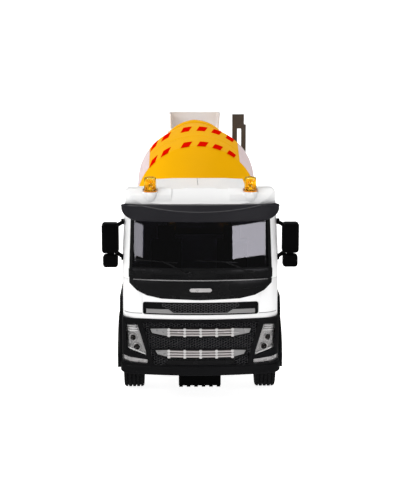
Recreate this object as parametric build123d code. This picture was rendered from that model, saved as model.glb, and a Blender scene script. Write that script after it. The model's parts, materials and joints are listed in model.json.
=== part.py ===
"""Radio-controlled toy cement mixer truck, about 1:26, modelled in millimetres.

+X is the truck's own left side, -Y its nose, +Z up. The origin is on the floor,
at the middle of the overall length. Stations along the truck are given as the
distance behind the nose and turned into Y by at().
"""

import math
import os

from build123d import *

os.makedirs("parts", exist_ok=True)

# Overall
LENGTH = 345.0
FRONT = -LENGTH / 2

# Cab
CAB_HALF = 49.5
CAB_REAR = 78.0
CAB_FLOOR_Z = 50.0
GLASS_LOW_Z = 91.0
GLASS_TOP_Z = 122.5
ROOF_SPLIT_Z = 131.0
ROOF_Z = 139.5
ROOF_BANK_HALF = 29.5
WALL = 1.6
LEAN_Y, LEAN_Z = 8.5, 49.0
NOSE, NOSE_SAG, NOSE_CORNER = 1.4, 7.0, 11.0

BEACON_X, BEACON_STATION, BEACON_Z = 31.6, 16.0, 138.2
MIRROR_X = 57.0
FENDER_X = (CAB_HALF + 0.2, 52.2, 53.8)

# Bumper
BUMPER_HALF = 50.3
BUMPER_LOW_Z = 22.0
LIP_TOP_Z = 27.8
BUMPER_TOP_Z = 58.6
BUMPER_REAR = 24.0
BUMPER_WALL = 2.0

# Wheels and axles
TYRE_R = 20.5
RIM_R = 12.6
TYRE_OUT_X = 50.5
FRONT_TYRE_W = 13.4
REAR_TYRE_W = 10.4
DUAL_GAP = 1.6
FRONT_AXLE = 54.0
REAR_AXLES = (199.0, 251.0)
AXLE_R = 1.5
RUNNING = 0.08
WHEEL_HOLES = 8

# Steering
KINGPIN_X = 29.5
KINGPIN_R = 1.2
STEER_ARM = 9.0
TIE_ROD_Z = (17.3, 19.5)

# Frame rails
RAIL_X = (12.5, 16.5)
RAIL_Z = (40.0, 50.0)
RAIL_SPAN = (16.0, 302.0)
ON_RAILS_Z = RAIL_Z[1] + 0.05

# Drum, along its own axis from the front rim of the cylindrical band
DRUM_STATION = 168.0
DRUM_Z = 108.3
DRUM_TILT = 14.5
DRUM_R = 45.0
DRUM_WALL = 1.6
CONE_FRONT_R, CONE_FRONT_A = 25.0, -40.0
BAND_A = 42.0
DRUM_JOINT_A = 21.0
MOUTH_R, MOUTH_A = 18.5, 130.0
TRACK_A, TRACK_R, TRACK_W = 104.0, 27.9, 5.0
ROLLER_R, ROLLER_ANGLE = 6.0, 32.0
DRUM_SHAFT_R = 3.0
MOTOR_SHAFT_R = 0.75

# Gears
DRIVE_MODULE = 0.7
AXLE_TEETH, DRIVE_PINION_TEETH = 26, 10
DRUM_MODULE = 0.8
RING_TEETH, DRUM_PINION_TEETH = 36, 11

DRUM_DISTANCE = DRUM_MODULE * (RING_TEETH + DRUM_PINION_TEETH) / 2
DRIVE_DISTANCE = DRIVE_MODULE * (AXLE_TEETH + DRIVE_PINION_TEETH) / 2
DRIVE_ANGLE = 40.0
DRIVE_MOTOR = (
    REAR_AXLES[0] + DRIVE_DISTANCE * math.cos(math.radians(DRIVE_ANGLE)),
    TYRE_R + DRIVE_DISTANCE * math.sin(math.radians(DRIVE_ANGLE)),
)

# Discharge chute: its swivel, and the gutter's upper end
CHUTE_PIVOT = 305.0
SWIVEL_Z = (76.0, 80.5)
SWIVEL_R = 2.0
CHUTE_TOP, CHUTE_TOP_Z = 310.0, 95.5
CHUTE_SLOPE = 52.0
CHUTE_LENGTH = 48.0
CHUTE_R = 9.0
CHUTE_WALL = 1.3
CHUTE_RIM = 1.0
HINGE_FROM_END = 1.0
HINGE_PIN_R = 0.8
EXTENSION_GAP = 0.6
EXTENSION_LENGTH = 34.0

HOPPER_LOW_Z, HOPPER_WAIST_Z, HOPPER_TOP_Z = 142.5, 147.6, 163.6
POST_TOP_Z = 146.5

# Boxes under the frame
BATTERY_X = 24.0
BATTERY_SPAN = (92.0, 156.0)
BATTERY_Z = (17.6, 39.8)
GEARBOX_X = 12.3
GEARBOX_SPAN = (182.0, 228.0)
GEARBOX_Z = (8.6, 39.8)
STEER_BOX_X = 14.0
STEER_BOX_SPAN = (37.0, 71.0)
STEER_BOX_LOW_Z = 3.4

# Ladder
LADDER_X = (32.2, 43.9)
LADDER_SPAN = (306.0, 310.2)


def both_halves(left):
    """A closed outline from the X and Z points of its left half, in order."""
    return left + [(-x, z) for x, z in reversed(left) if x]


# Front outlines of the cab's parts, as X and Z
WINDSCREEN = both_halves([(-44.6, GLASS_LOW_Z), (-43.6, GLASS_TOP_Z)])
REAR_WINDOW = both_halves([(-20, 102), (-20, 124)])
VISOR = both_halves([(-39.5, 119.5), (-44.6, 121.0), (-48.4, 123.3), (-50.3, 126.6), (-50.3, 136)])
COWL_LOW_Z, COWL_PROUD = 84.5, 0.5
COWL_HALF, COWL_KNOB_X = 45.4, 43.2
COWL = both_halves([(-COWL_HALF, COWL_LOW_Z), (-COWL_HALF, GLASS_LOW_Z - 0.1)])
FRONT_PANEL = both_halves(
    [(-45.2, COWL_LOW_Z - 0.06), (-45.0, 81.5), (-40.2, 76.9), (-34.2, 74.0), (-24.7, 72.1), (0, 71.3)]
)
BADGE = both_halves([(-7.0, 76.6), (-7.0, 79.0)])
SLOT_HALF, SLOT_LOW_Z, SLOT_TOP_Z = 36.7, 61.5, 69.6
UPPER_SLOT = both_halves([(-SLOT_HALF, SLOT_LOW_Z), (-SLOT_HALF, SLOT_TOP_Z)])
SLOT_BLADE = both_halves([(-17.2, 62.9), (-20.2, 65.1), (-34.6, 65.1), (-34.6, 62.2)])

# Front outlines of the bumper's parts
GRILLE = both_halves([(-29.6, 28.6), (-36.9, 56.4)])
VANE_UPPER = both_halves([(-22, 52.8), (-31.8, 52.2), (-30.8, 49.6), (-20, 47.6)])
VANE_LOWER = both_halves([(-20, 38.8), (-28.6, 38.2), (-27.4, 35.8), (-18, 33.6)])
VANE_SLITS = ((VANE_UPPER, 50.1), (VANE_LOWER, 36.1))
HEADLAMP = [(47.8, 54.4), (40.1, 54.7), (33.8, 33.6), (46.8, 38.0)]
CORNER_LAMP = [(51.0, 34.4), (45.0, 33.0), (33.6, 31.9), (33.0, 28.9), (42.5, 29.3), (51.0, 30.2)]

# Side outlines, as station and Z
DOOR_WINDOW = [(19, 94), (25.5, 125), (49, 125), (49, 90), (27, 90)]

# Wipers: where each one's pivot is, and the span of its blade
WIPER_Z = 87.8
WIPERS = ((-6.7, (-42.0, -15.0)), (34.0, (-3.0, 23.0)))


def at(station):
    """Y of a station behind the nose."""
    return FRONT + station


def block(x, d, z):
    """A box from low and high X, stations and Z."""
    size = (x[1] - x[0], d[1] - d[0], z[1] - z[0])
    centre = ((x[0] + x[1]) / 2, at((d[0] + d[1]) / 2), (z[0] + z[1]) / 2)
    return Pos(*centre) * Box(*size)


def rod_x(r, x0, x1, d, z):
    return Pos((x0 + x1) / 2, at(d), z) * Rot(0, 90, 0) * Cylinder(r, abs(x1 - x0))


def rod_y(r, x, d0, d1, z):
    return Pos(x, at((d0 + d1) / 2), z) * Rot(90, 0, 0) * Cylinder(r, abs(d1 - d0))


def rod_z(r, x, d, z0, z1):
    return Pos(x, at(d), (z0 + z1) / 2) * Cylinder(r, abs(z1 - z0))


def rod_between(r, a, b):
    """A round bar between two points given as x, station, z."""
    start = Vector(a[0], at(a[1]), a[2])
    end = Vector(b[0], at(b[1]), b[2])
    plane = Plane(origin=(start + end) / 2, z_dir=end - start)
    return plane.location * Cylinder(r, (end - start).length)


def face_of(points, radius=0.0):
    face = make_face(Polyline(*points, close=True))
    return fillet(face.vertices(), radius) if radius else face


def prism_x(points, x0, x1, radius=0.0, grow=0.0):
    """Station and Z points, drawn out along X."""
    face = face_of([(at(d), z) for d, z in points], radius)
    face = offset(face, grow) if grow else face
    return extrude(Plane.YZ.offset(x0) * face, amount=x1 - x0, dir=(1, 0, 0))


def prism_y(points, d0, d1, radius=0.0, grow=0.0):
    """X and Z points, drawn out along the truck."""
    face = face_of(points, radius)
    face = offset(face, grow) if grow else face
    placed = Pos(0, at(d0), 0) * (Plane.XZ * face)
    return extrude(placed, amount=d1 - d0, dir=(0, 1, 0))


def mirrored(points):
    """The same outline on the other side of the truck."""
    return [(-x, z) for x, z in points]


def soften(shape, edges, radius):
    """Rounds edges where the radius fits, and leaves them sharp where it doesn't."""
    try:
        done = fillet(edges, radius)
        return done if done.is_valid else shape
    except (ValueError, RuntimeError):
        return shape


# ---------------------------------------------------------------- cab


def front_plan(half, nose, sag, corner, rear, inset):
    """The plan outline of a bowed front: nose station at the middle, sag further back at the sides."""
    side = nose + sag
    sketch = make_face(
        [
            ThreePointArc((-half, at(side)), (0, at(nose)), (half, at(side))),
            Line((half, at(side)), (half, at(rear))),
            Line((half, at(rear)), (-half, at(rear))),
            Line((-half, at(rear)), (-half, at(side))),
        ]
    )
    corners = sketch.vertices().sort_by(Axis.Y)[0:2]
    sketch = fillet(corners, corner)
    return offset(sketch, -inset) if inset else sketch


def cab_form(inset):
    """The cab's outside form, shrunk by inset all round, or grown if it is negative."""
    plan = front_plan(CAB_HALF, NOSE, NOSE_SAG, NOSE_CORNER, CAB_REAR, inset)
    lower = extrude(Pos(0, 0, 40) * plan, amount=GLASS_LOW_Z - 40, dir=(0, 0, 1))
    lean = math.hypot(LEAN_Y, LEAN_Z)
    upper = extrude(Pos(0, 0, GLASS_LOW_Z) * plan, amount=lean, dir=(0, LEAN_Y, LEAN_Z))
    outline = [
        (-CAB_HALF, 40),
        (-CAB_HALF, 100),
        (-CAB_HALF + 2.2, ROOF_Z + 0.3),
        (CAB_HALF - 2.2, ROOF_Z + 0.3),
        (CAB_HALF, 100),
        (CAB_HALF, 40),
    ]
    face = make_face(Polyline(*outline, close=True))
    top = face.vertices().sort_by(Axis.Y)[-2:]
    face = fillet(top, 6.0)
    face = offset(face, -inset) if inset else face
    width = extrude(Pos(0, at(-10), 0) * (Plane.XZ * face), amount=110, dir=(0, 1, 0))
    side = [
        (-8, 40),
        (-8, 124),
        (11, ROOF_SPLIT_Z + 0.6),
        (18.5, ROOF_Z),
        (74, ROOF_Z - 0.6),
        (CAB_REAR, ROOF_Z - 5),
        (CAB_REAR, 40),
    ]
    length = prism_x(side, -60, 60, grow=-inset)
    return (lower + upper) & width & length


def nose_station(x, z):
    """Station of the cab's bowed front face at a place across and up."""
    bow_r = (CAB_HALF**2 + NOSE_SAG**2) / (2 * NOSE_SAG)
    bow = bow_r - math.sqrt(bow_r**2 - x**2)
    return NOSE + bow + max(0.0, z - GLASS_LOW_Z) * LEAN_Y / LEAN_Z


def above(z):
    return block((-80, 80), (-40, 120), (z, 200))


def below(z):
    return block((-80, 80), (-40, 120), (-20, z))


def door_grooves():
    """The joint round each door, and the joints of the front lid."""
    ring = [(16.5, 54), (16.5, 92), (24, 128.5), (53, 128.5), (53, 54)]
    door = prism_x(ring, -60, 60, radius=2.0) - prism_x(ring, -61, 61, radius=1.6, grow=-0.45)
    lid = block((-60, 60), (-5, 12), (61.8, 62.25)) - block((-SLOT_HALF, SLOT_HALF), (-6, 13), (60, 66))
    corner = block((-60, 60), (-5, 16.5), (83.6, 84.05)) - block((-COWL_HALF, COWL_HALF), (-6, 17), (80, 88))
    return door + lid + corner


def cab_windows():
    return (
        prism_y(WINDSCREEN, -10, 30, radius=2.5)
        + prism_x(DOOR_WINDOW, -60, 60, radius=2.0)
        + prism_y(REAR_WINDOW, 60, 90, radius=2.0)
    )


def cab_shell():
    outer = cab_form(0)
    shell = (outer & above(CAB_FLOOR_Z) & below(ROOF_SPLIT_Z)) - (cab_form(WALL) & below(ROOF_SPLIT_Z + 1))
    shell -= block((-60, 60), (-10, BUMPER_REAR + 1), (40, BUMPER_TOP_Z + 0.1))
    shell -= cab_windows()
    shell -= (outer - cab_form(0.4)) & door_grooves()
    shell -= (outer - cab_form(0.7)) & prism_y(UPPER_SLOT, -10, 12, radius=0.9)
    for side in (1, -1):
        shell += block(sorted((side * (CAB_HALF - 1.3), side * (CAB_HALF + 0.9))), (44, 51), (84.5, 86.3))
    return shell


def roof_panel():
    """Roof with three pads along its front, a crowned bank behind them, and sides that fall to the rear."""
    body = cab_form(0) & above(ROOF_SPLIT_Z + 0.05)
    for x0, x1, d0 in ((-47.5, -18.4, 12), (18.4, 47.5, 12), (-10.4, 10.4, 15)):
        pad = prism_x([(d0 - 1, 131), (d0 + 4.4, ROOF_Z + 1.0), (27, ROOF_Z + 0.8), (33, 131)], x0, x1)
        body += pad & cab_form(-1.1)
    crown = both_halves([(-ROOF_BANK_HALF, 150), (-ROOF_BANK_HALF, 138.2), (0, 139.9)])
    body -= prism_y(crown, 36, 82)
    hollow = cab_form(WALL) & below(ROOF_Z - 3.2)
    fall = [(30, 150), (30, 139.7), (78, 131.9), (82, 150)]
    lowered = [(d, z - WALL - 0.2) for d, z in fall]
    for side in (1, -1):
        body -= prism_x(fall, *sorted((side * ROOF_BANK_HALF, side * 60)))
        hollow -= prism_x(lowered, *sorted((side * (ROOF_BANK_HALF - WALL), side * 60)))
    body -= hollow
    for x in (-BEACON_X, BEACON_X):
        body += rod_z(4.5, x, BEACON_STATION, ROOF_SPLIT_Z + 0.1, BEACON_Z - 0.1) - cab_form(WALL)
        body -= rod_z(4.8, x, BEACON_STATION, BEACON_Z - 0.1, 150)
    return body


def panel_on_cab(points, low, high, depth=14, radius=0.0, grow=0.0):
    """A skin piece lying on the cab's face between two insets, inside a front outline."""
    skin = cab_form(low) - cab_form(high)
    return skin & prism_y(points, -10, depth, radius, grow)


def glazing():
    skin_plug = cab_form(0.3) - cab_form(1.8)
    skin_flange = cab_form(1.75) - cab_form(2.7)
    front = (skin_plug & prism_y(WINDSCREEN, -10, 30, radius=2.5, grow=-0.12)) + (
        skin_flange & prism_y(WINDSCREEN, -10, 30, radius=2.5, grow=1.8)
    )
    panes = []
    for x0, x1 in ((30, 60), (-60, -30)):
        plug = skin_plug & prism_x(DOOR_WINDOW, x0, x1, radius=2.0, grow=-0.12)
        flange = skin_flange & prism_x(DOOR_WINDOW, x0, x1, radius=2.0, grow=1.5)
        flange -= block((-60, 60), (-5, 20.2), (60, 140))
        panes.append(plug + flange)
    back = (skin_plug & prism_y(REAR_WINDOW, 60, 90, radius=2.0, grow=-0.12)) + (
        skin_flange & prism_y(REAR_WINDOW, 60, 90, radius=2.0, grow=1.8)
    )
    return [front, *panes, back]


def sun_visor():
    plan = front_plan(CAB_HALF + 0.6, 0.0, 9.2, NOSE_CORNER, 60, 0)
    body = extrude(Pos(0, 0, 110) * plan, amount=30, dir=(0, 0, 1))
    side = [(-2, 121.4), (-0.8, 119.8), (6, 119.8), (30, 123.4), (26, 131.6), (2.4, 131.6), (-2, 124.5)]
    visor = body & prism_x(side, -60, 60)
    visor &= prism_x([(-5, 115), (-5, 135), (21, 135), (17, 115)], -60, 60)
    visor &= prism_y(VISOR, -10, 40)
    visor -= cab_form(-0.04)
    visor -= roof_panel()
    return visor


def windscreen_cowl():
    cowl = panel_on_cab(COWL, -COWL_PROUD, -0.03, radius=0.8)
    for x in (-COWL_KNOB_X, COWL_KNOB_X):
        station = nose_station(x, WIPER_Z)
        cowl += rod_y(1.6, x, station - 1.5, station + 2, WIPER_Z) - cab_form(-0.03)
    return cowl


def wiper(pivot_x, blade):
    """A wiper lying along the foot of the windscreen: boss, arm and blade."""
    station = nose_station(pivot_x, WIPER_Z)
    boss = rod_y(1.7, pivot_x, station - 1.36, station + 1, WIPER_Z) - cab_form(-COWL_PROUD - 0.05)
    middle = (blade[0] + blade[1]) / 2 + 4
    arm = [(pivot_x - 0.5, 87.4), (pivot_x + 0.5, 88.4), (middle + 0.4, 96.3), (middle - 0.4, 95.3)]
    strip = [(blade[0], 96.2), (blade[0], 97.1), (blade[1], 95.6), (blade[1], 94.7)]
    return boss + panel_on_cab(arm, -1.3, -0.55) + panel_on_cab(strip, -0.9, 0.25)


def cab_front_lamps(points, low, high, grow, depth=24):
    """A pair of lamp pieces, between two insets of the bumper's face and inside a front outline."""
    skin = extrude(Pos(0, 0, 20) * bumper_plan(low), amount=45, dir=(0, 0, 1))
    skin -= extrude(Pos(0, 0, 19) * bumper_plan(high, 40), amount=47, dir=(0, 0, 1))
    return [
        skin & prism_y(points, -5, depth, radius=0.8, grow=grow),
        skin & prism_y(mirrored(points), -5, depth, radius=0.8, grow=grow),
    ]


def lamp_lenses():
    """Headlamp lenses and the corner strips below them."""
    return cab_front_lamps(HEADLAMP, 0.05, 1.3, -0.1) + cab_front_lamps(CORNER_LAMP, 0.0, 1.4, -0.1)


def bumper_plan(inset, rear=BUMPER_REAR):
    return front_plan(BUMPER_HALF, 1.0, 7.2, 8.5, rear, inset)


def bumper():
    base = Pos(0, 0, BUMPER_LOW_Z)
    body = extrude(base * bumper_plan(0), amount=BUMPER_TOP_Z - BUMPER_LOW_Z, dir=(0, 0, 1))
    lip = extrude(base * bumper_plan(-1.0), amount=LIP_TOP_Z - BUMPER_LOW_Z, dir=(0, 0, 1))
    lip = soften(lip, lip.edges().group_by(Axis.Z)[-1], 0.8)
    lip = soften(lip, lip.edges().group_by(Axis.Z)[0], 1.2)
    body += lip
    body -= extrude(Pos(0, 0, 2) * base * bumper_plan(BUMPER_WALL, 60), amount=60, dir=(0, 0, 1))
    body -= prism_y(GRILLE, -5, 12, radius=0.8)
    for points in (HEADLAMP, mirrored(HEADLAMP), CORNER_LAMP, mirrored(CORNER_LAMP)):
        body -= prism_y(points, -5, 24, radius=0.8)
    body += block((1.5 - BUMPER_HALF, BUMPER_HALF - 1.5), (13.4, 15.9), (41, 49))
    return body


def grille_meshes():
    """The lower grille's mesh plate and the slot's plate above it."""
    plate = extrude(Pos(0, 0, 28) * bumper_plan(0.9), amount=31, dir=(0, 0, 1))
    plate -= extrude(Pos(0, 0, 27) * bumper_plan(2.3, 40), amount=33, dir=(0, 0, 1))
    lower = plate & prism_y(GRILLE, -5, 12, radius=0.8, grow=-0.1)
    upper = panel_on_cab(UPPER_SLOT, 0.1, 0.65, radius=0.9, grow=-0.08)
    return [lower, upper]


def grille_brightwork():
    """Two vanes in the lower grille, a blade along the slot, and a plain badge plate."""
    skin = extrude(Pos(0, 0, 28) * bumper_plan(-0.9), amount=31, dir=(0, 0, 1))
    skin -= extrude(Pos(0, 0, 27) * bumper_plan(0.85, 40), amount=33, dir=(0, 0, 1))
    pieces = []
    for outline, middle in VANE_SLITS:
        vane = skin & prism_y(outline, -5, 12)
        for k in range(-2, 2):
            x = k * 9.6 + 0.9
            vane -= block((x, x + 7.8), (-2, 3.2), (middle - 0.3, middle + 0.3))
        pieces.append(vane)
    pieces.append(panel_on_cab(SLOT_BLADE, -0.5, 0.06))
    pieces.append(panel_on_cab(BADGE, -1.36, -0.84, radius=1.1))
    return pieces


def beacons():
    made = []
    for x in (-BEACON_X, BEACON_X):
        body = rod_z(4.2, x, BEACON_STATION, BEACON_Z, BEACON_Z + 1.3)
        dome = Pos(x, at(BEACON_STATION), BEACON_Z + 5.2) * Cone(3.9, 3.2, 8.2)
        body += dome
        body = soften(body, body.edges().group_by(Axis.Z)[-1], 1.1)
        made.append(body)
    return made


def mirrors():
    """Each side's main mirror, wide-angle mirror and two arms as one moulding."""
    made = []
    for side in (1, -1):
        main = Pos(side * MIRROR_X, at(13.0), 109.2) * Box(10.8, 5.4, 19.6)
        main = soften(main, main.edges().filter_by(Axis.Y), 2.2)
        main = soften(main, main.faces().sort_by(Axis.Y)[0].edges(), 1.6)
        low = Pos(side * MIRROR_X, at(13.2), 94.4) * Box(9.6, 5.0, 8.2)
        low = soften(low, low.edges().filter_by(Axis.Y), 2.0)
        low = soften(low, low.faces().sort_by(Axis.Y)[0].edges(), 1.4)
        neck = Pos(side * MIRROR_X, at(13.4), 98.9) * Box(4.4, 2.6, 3.0)
        reach = side * (MIRROR_X - 3.3)
        top_arm = rod_between(1.25, (side * (CAB_HALF - 0.6), 15.4, 119.0), (reach, 13.4, 116.6))
        foot = rod_between(1.25, (side * (CAB_HALF - 0.5), 15.6, 96.4), (reach, 13.4, 100.2))
        top_pad = rod_x(1.9, side * (CAB_HALF - 1.1), side * (CAB_HALF + 0.6), 15.6, 119.2)
        low_pad = rod_x(1.9, side * (CAB_HALF - 0.5), side * (CAB_HALF + 0.8), 15.8, 96.2)
        piece = main + low + neck + top_arm + foot + top_pad + low_pad
        made.append(piece - cab_form(-0.02))
    return made


def cab_interior():
    """Floor tub, dashboard, two seats and the steering wheel, moulded together."""
    tub = block((-44, 44), (12, 75), (52.2, 54.2))
    tub += prism_x([(13, 54), (13, 80.4), (20, 82), (24, 79), (23.1, 54)], -43, 43)
    for x in (-22, 22):
        seat = block((x - 11, x + 11), (41, 60), (54, 66))
        back = prism_x([(56, 64), (60, 98), (65, 99), (64, 64)], x - 10, x + 10)
        head = prism_x([(61, 98), (62, 108), (66, 108), (65, 98)], x - 5.5, x + 5.5)
        tub += seat + back + head
    tub += block((-30, 30), (58, 70), (53, 62))
    column = rod_between(1.0, (22, 22, 78), (22, 31, 85))
    wheel = Plane(origin=(22, at(31), 85), x_dir=(1, 0, 0), z_dir=(0, 0.8, 0.6)).location
    rim = wheel * Torus(7.0, 0.9)
    spoke = wheel * Box(13.4, 2.0, 1.2)
    return tub + column + rim + spoke


def front_fenders():
    """Wheel arch, inner well and side moulding of each front wheel."""
    made = []
    for side in (1, -1):
        well = rod_x(28.8, side * 20, side * FENDER_X[1], FRONT_AXLE, TYRE_R)
        well -= rod_x(27.4, side * 19, side * 60, FRONT_AXLE, TYRE_R)
        well &= block((-60, 60), (25.4, 90), (21, 49.2))
        lip_shape = [(25.2, 21), (25.2, 60), (30, 67.5), (76.5, 67.5), (81.5, 60), (82.2, 32), (80, 21)]
        lip = prism_x(lip_shape, *sorted((side * FENDER_X[0], side * FENDER_X[1])), radius=1.5)
        lip -= rod_x(27.4, side * 40, side * 60, FRONT_AXLE, TYRE_R)
        band = rod_x(30.4, side * FENDER_X[0], side * FENDER_X[2], FRONT_AXLE, TYRE_R)
        band -= rod_x(27.4, side * 40, side * 60, FRONT_AXLE, TYRE_R)
        band &= block((-60, 60), (25.2, 90), (21, 60))
        made.append(well + lip + band)
    return made


# ---------------------------------------------------------------- chassis


def chassis_frame():
    parts = []
    for side in (1, -1):
        rail = block(sorted((side * RAIL_X[0], side * RAIL_X[1])), RAIL_SPAN, RAIL_Z)
        rail -= block(sorted((side * 14.0, side * 17)), (15, 303), (RAIL_Z[0] + 1.6, RAIL_Z[1] - 1.6))
        parts.append(rail)
        for axle in REAR_AXLES:
            hanger = prism_x(
                [(axle - 9, 40.5), (axle + 9, 40.5), (axle + 4.5, 16), (axle - 4.5, 16)],
                *sorted((side * 13.6, side * 16.5)),
                radius=1.5,
            )
            parts.append(hanger)
    for d0, d1 in ((18, 23), (84, 88), (158, 161), (177, 180), (229, 233), (262, 266), (296, 300)):
        parts.append(block((-13, 13), (d0, d1), (41, 49)))
    for d in (86, 164, 236, 286):
        parts.append(block((-21, 21), (d - 1.2, d + 1.2), (43, 47)))
    frame = parts[0]
    for piece in parts[1:]:
        frame += piece
    for axle in REAR_AXLES:
        frame -= rod_x(AXLE_R + RUNNING, -20, 20, axle, TYRE_R)
    return frame


def battery_box():
    inner_z = (BATTERY_Z[0] + 1.5, BATTERY_Z[1] - 1.2)
    box = block((-BATTERY_X, BATTERY_X), BATTERY_SPAN, BATTERY_Z)
    box -= block((-BATTERY_X + 1.2, BATTERY_X - 1.2), (101.6, 154.6), inner_z)
    box -= block((-11, 11), (93.4, 100.2), inner_z)
    box -= block((-20.2, 20.2), (104.8, 152.2), (10, BATTERY_Z[0] + 2))
    box -= block((-5, 5), (95.2, 98.4), (10, BATTERY_Z[0] + 2))
    return box


def battery_door():
    low = BATTERY_Z[0]
    screw_d = 146
    door = block((-20, 20), (105, 152), (low, low + 1.4))
    for k in range(5):
        door -= block((-12, 12), (112 + k * 2.4, 113.2 + k * 2.4), (10, low + 0.5))
    door -= rod_z(1.1, 0, screw_d, 10, 30)
    door -= rod_z(2.1, 0, screw_d, 10, low + 0.7)
    screw = rod_z(2.0, 0, screw_d, low + 0.1, low + 0.68)
    screw += rod_z(1.0, 0, screw_d, low + 0.5, low + 1.8)
    return [door, screw]


def battery_cells():
    z = 27.4
    cells = []
    for k, x in enumerate((-15.0, 0.0, 15.0)):
        flip = 1 if k % 2 else -1
        body = rod_y(7.1, x, 104, 152, z)
        nub = rod_y(2.6, x, 151.5, 153.4, z) if flip > 0 else rod_y(2.6, x, 102.6, 104.5, z)
        cells.append(body + nub)
    return cells


def power_switch():
    slider = block((-1.7, 1.7), (95.5, 98.1), (16.2, 19.3)) + block((-6, 6), (94, 99.6), (19.3, 20.4))
    return slider


def circuit_board():
    board = block((-11.6, 11.6), (100, 150), (43.0, 44.4))
    for x, d, w, h in ((-4, 108, 6, 6), (5, 118, 5, 9), (-5, 128, 4, 4), (4, 136, 6, 3), (-6, 142, 3, 5)):
        board += block((x - w / 2, x + w / 2), (d - h / 2, d + h / 2), (44.3, 46.2))
    board += rod_z(2.0, 7, 106, 44.3, 47.6) + rod_z(2.0, 7, 111, 44.3, 47.6)
    return board


def gear_housing():
    box = block((-GEARBOX_X, GEARBOX_X), GEARBOX_SPAN, GEARBOX_Z)
    box = soften(box, box.edges().filter_by(Axis.X), 2.0)
    inner_span = (GEARBOX_SPAN[0] + 1.4, GEARBOX_SPAN[1] - 1.4)
    inner_z = (GEARBOX_Z[0] + 1.4, GEARBOX_Z[1] - 1.4)
    box -= block((-GEARBOX_X + 1.3, GEARBOX_X - 1.3), inner_span, inner_z)
    box -= rod_x(AXLE_R + RUNNING, -20, 20, REAR_AXLES[0], TYRE_R)
    return box


def motor_x(x0, x1, d, z, shaft_end):
    """A small can motor lying across the truck, with its end cap and bare shaft."""
    can = rod_x(5.6, x0 + 2.2, x1, d, z) + rod_x(5.0, x0, x0 + 2.3, d, z)
    return can + rod_x(2.0, x1 - 0.1, x1 + 0.9, d, z) + rod_x(MOTOR_SHAFT_R, x1, shaft_end, d, z)


def gear_outline(teeth, module, addendum, thin=0.09):
    """Involute tooth outline as straight chords, with the first tooth on the sketch's X axis."""
    pitch_r = module * teeth / 2
    base_r = pitch_r * math.cos(math.radians(20))
    root_r = pitch_r - 1.25 * module
    tip_r = pitch_r + addendum * module
    involute = math.tan(math.radians(20)) - math.radians(20)
    half_at_base = math.pi / (2 * teeth) - thin / (2 * pitch_r) + involute
    flank = [(root_r, half_at_base)] if root_r < base_r else []
    steps = 4
    start_r = max(base_r, root_r)
    for k in range(steps + 1):
        r = start_r + (tip_r - start_r) * k / steps
        roll = math.acos(min(1.0, base_r / r))
        flank.append((r, half_at_base - (math.tan(roll) - roll)))
    points = []
    for tooth in range(teeth):
        middle = 2 * math.pi * tooth / teeth
        for r, half in flank:
            points.append((r * math.cos(middle - half), r * math.sin(middle - half)))
        for r, half in reversed(flank):
            points.append((r * math.cos(middle + half), r * math.sin(middle + half)))
    return make_face(Polyline(*points, close=True))


def gear_x(teeth, module, addendum, x0, x1, d, z, turn, bore):
    """A spur gear turning about X, with one tooth pointing at turn degrees from +Y towards +Z."""
    face = Plane.YZ.offset(x0) * (Rot(0, 0, turn) * gear_outline(teeth, module, addendum))
    gear = Pos(0, at(d), z) * extrude(face, amount=x1 - x0, dir=(1, 0, 0))
    return gear - rod_x(bore, x0 - 1, x1 + 1, d, z)


def motors():
    """The traction motor, the drum's motor and the steering servo."""
    drive = motor_x(-9.4, 3.2, *DRIVE_MOTOR, 9.4)
    can = Pos(0, DRUM_DISTANCE, -58.0) * Cylinder(5.6, 9.0)
    can += Pos(0, DRUM_DISTANCE, -51.8) * Cylinder(MOTOR_SHAFT_R, 9.6)
    servo = block((-6, 6), (40.6, 59.4), (18.2, 34))
    servo = soften(servo, servo.edges().filter_by(Axis.Z), 0.8)
    servo += block((-6, 6), (39, 61), (28, 29.4)) + rod_z(3.4, 0, FRONT_AXLE, 17.2, 18.4)
    return [drive, drum_plane().location * can, servo]


def steering_box():
    """The box under the nose that holds the steering motor, with ribs along its sole."""
    box = block((-STEER_BOX_X, STEER_BOX_X), STEER_BOX_SPAN, (STEER_BOX_LOW_Z + 1.2, 39.9))
    box = soften(box, box.edges().filter_by(Axis.Z), 1.2)
    inner = block((-12.7, 12.7), (38.3, 69.7), (6.2, 38.6))
    box -= inner
    for k in range(6):
        x = -STEER_BOX_X + 1.5 + k * 5.0
        box += block((x - 1.2, x + 1.2), (38, 70), (STEER_BOX_LOW_Z, STEER_BOX_LOW_Z + 1.3))
    box += rod_y(5.0, 0, 36.0, 37.2, 20.5)
    box -= rod_y(3.6, 0, 35.0, 36.7, 20.5)
    window_d = FRONT_AXLE + STEER_ARM
    box -= block((-20, 20), (window_d - 2.6, window_d + 2.6), (16.6, 20.2))
    return box


def front_axle_beam():
    """Beam halves each side of the steering box, ending in forks for the kingpins."""
    made = []
    for side in (1, -1):
        beam = block(sorted((side * 14.05, side * 25.6)), (50.5, 57.5), (17, 24))
        stem = block(sorted((side * 23.8, side * 26.2)), (50.5, 57.5), (11, 30))
        for z0, z1 in ((11, 13.4), (27.6, 30)):
            stem += block(sorted((side * 24, side * 32.2)), (50.5, 57.5), (z0, z1))
        beam += stem
        beam -= rod_z(KINGPIN_R + RUNNING, side * KINGPIN_X, FRONT_AXLE, 5, 35)
        made.append(beam)
    return made


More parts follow.
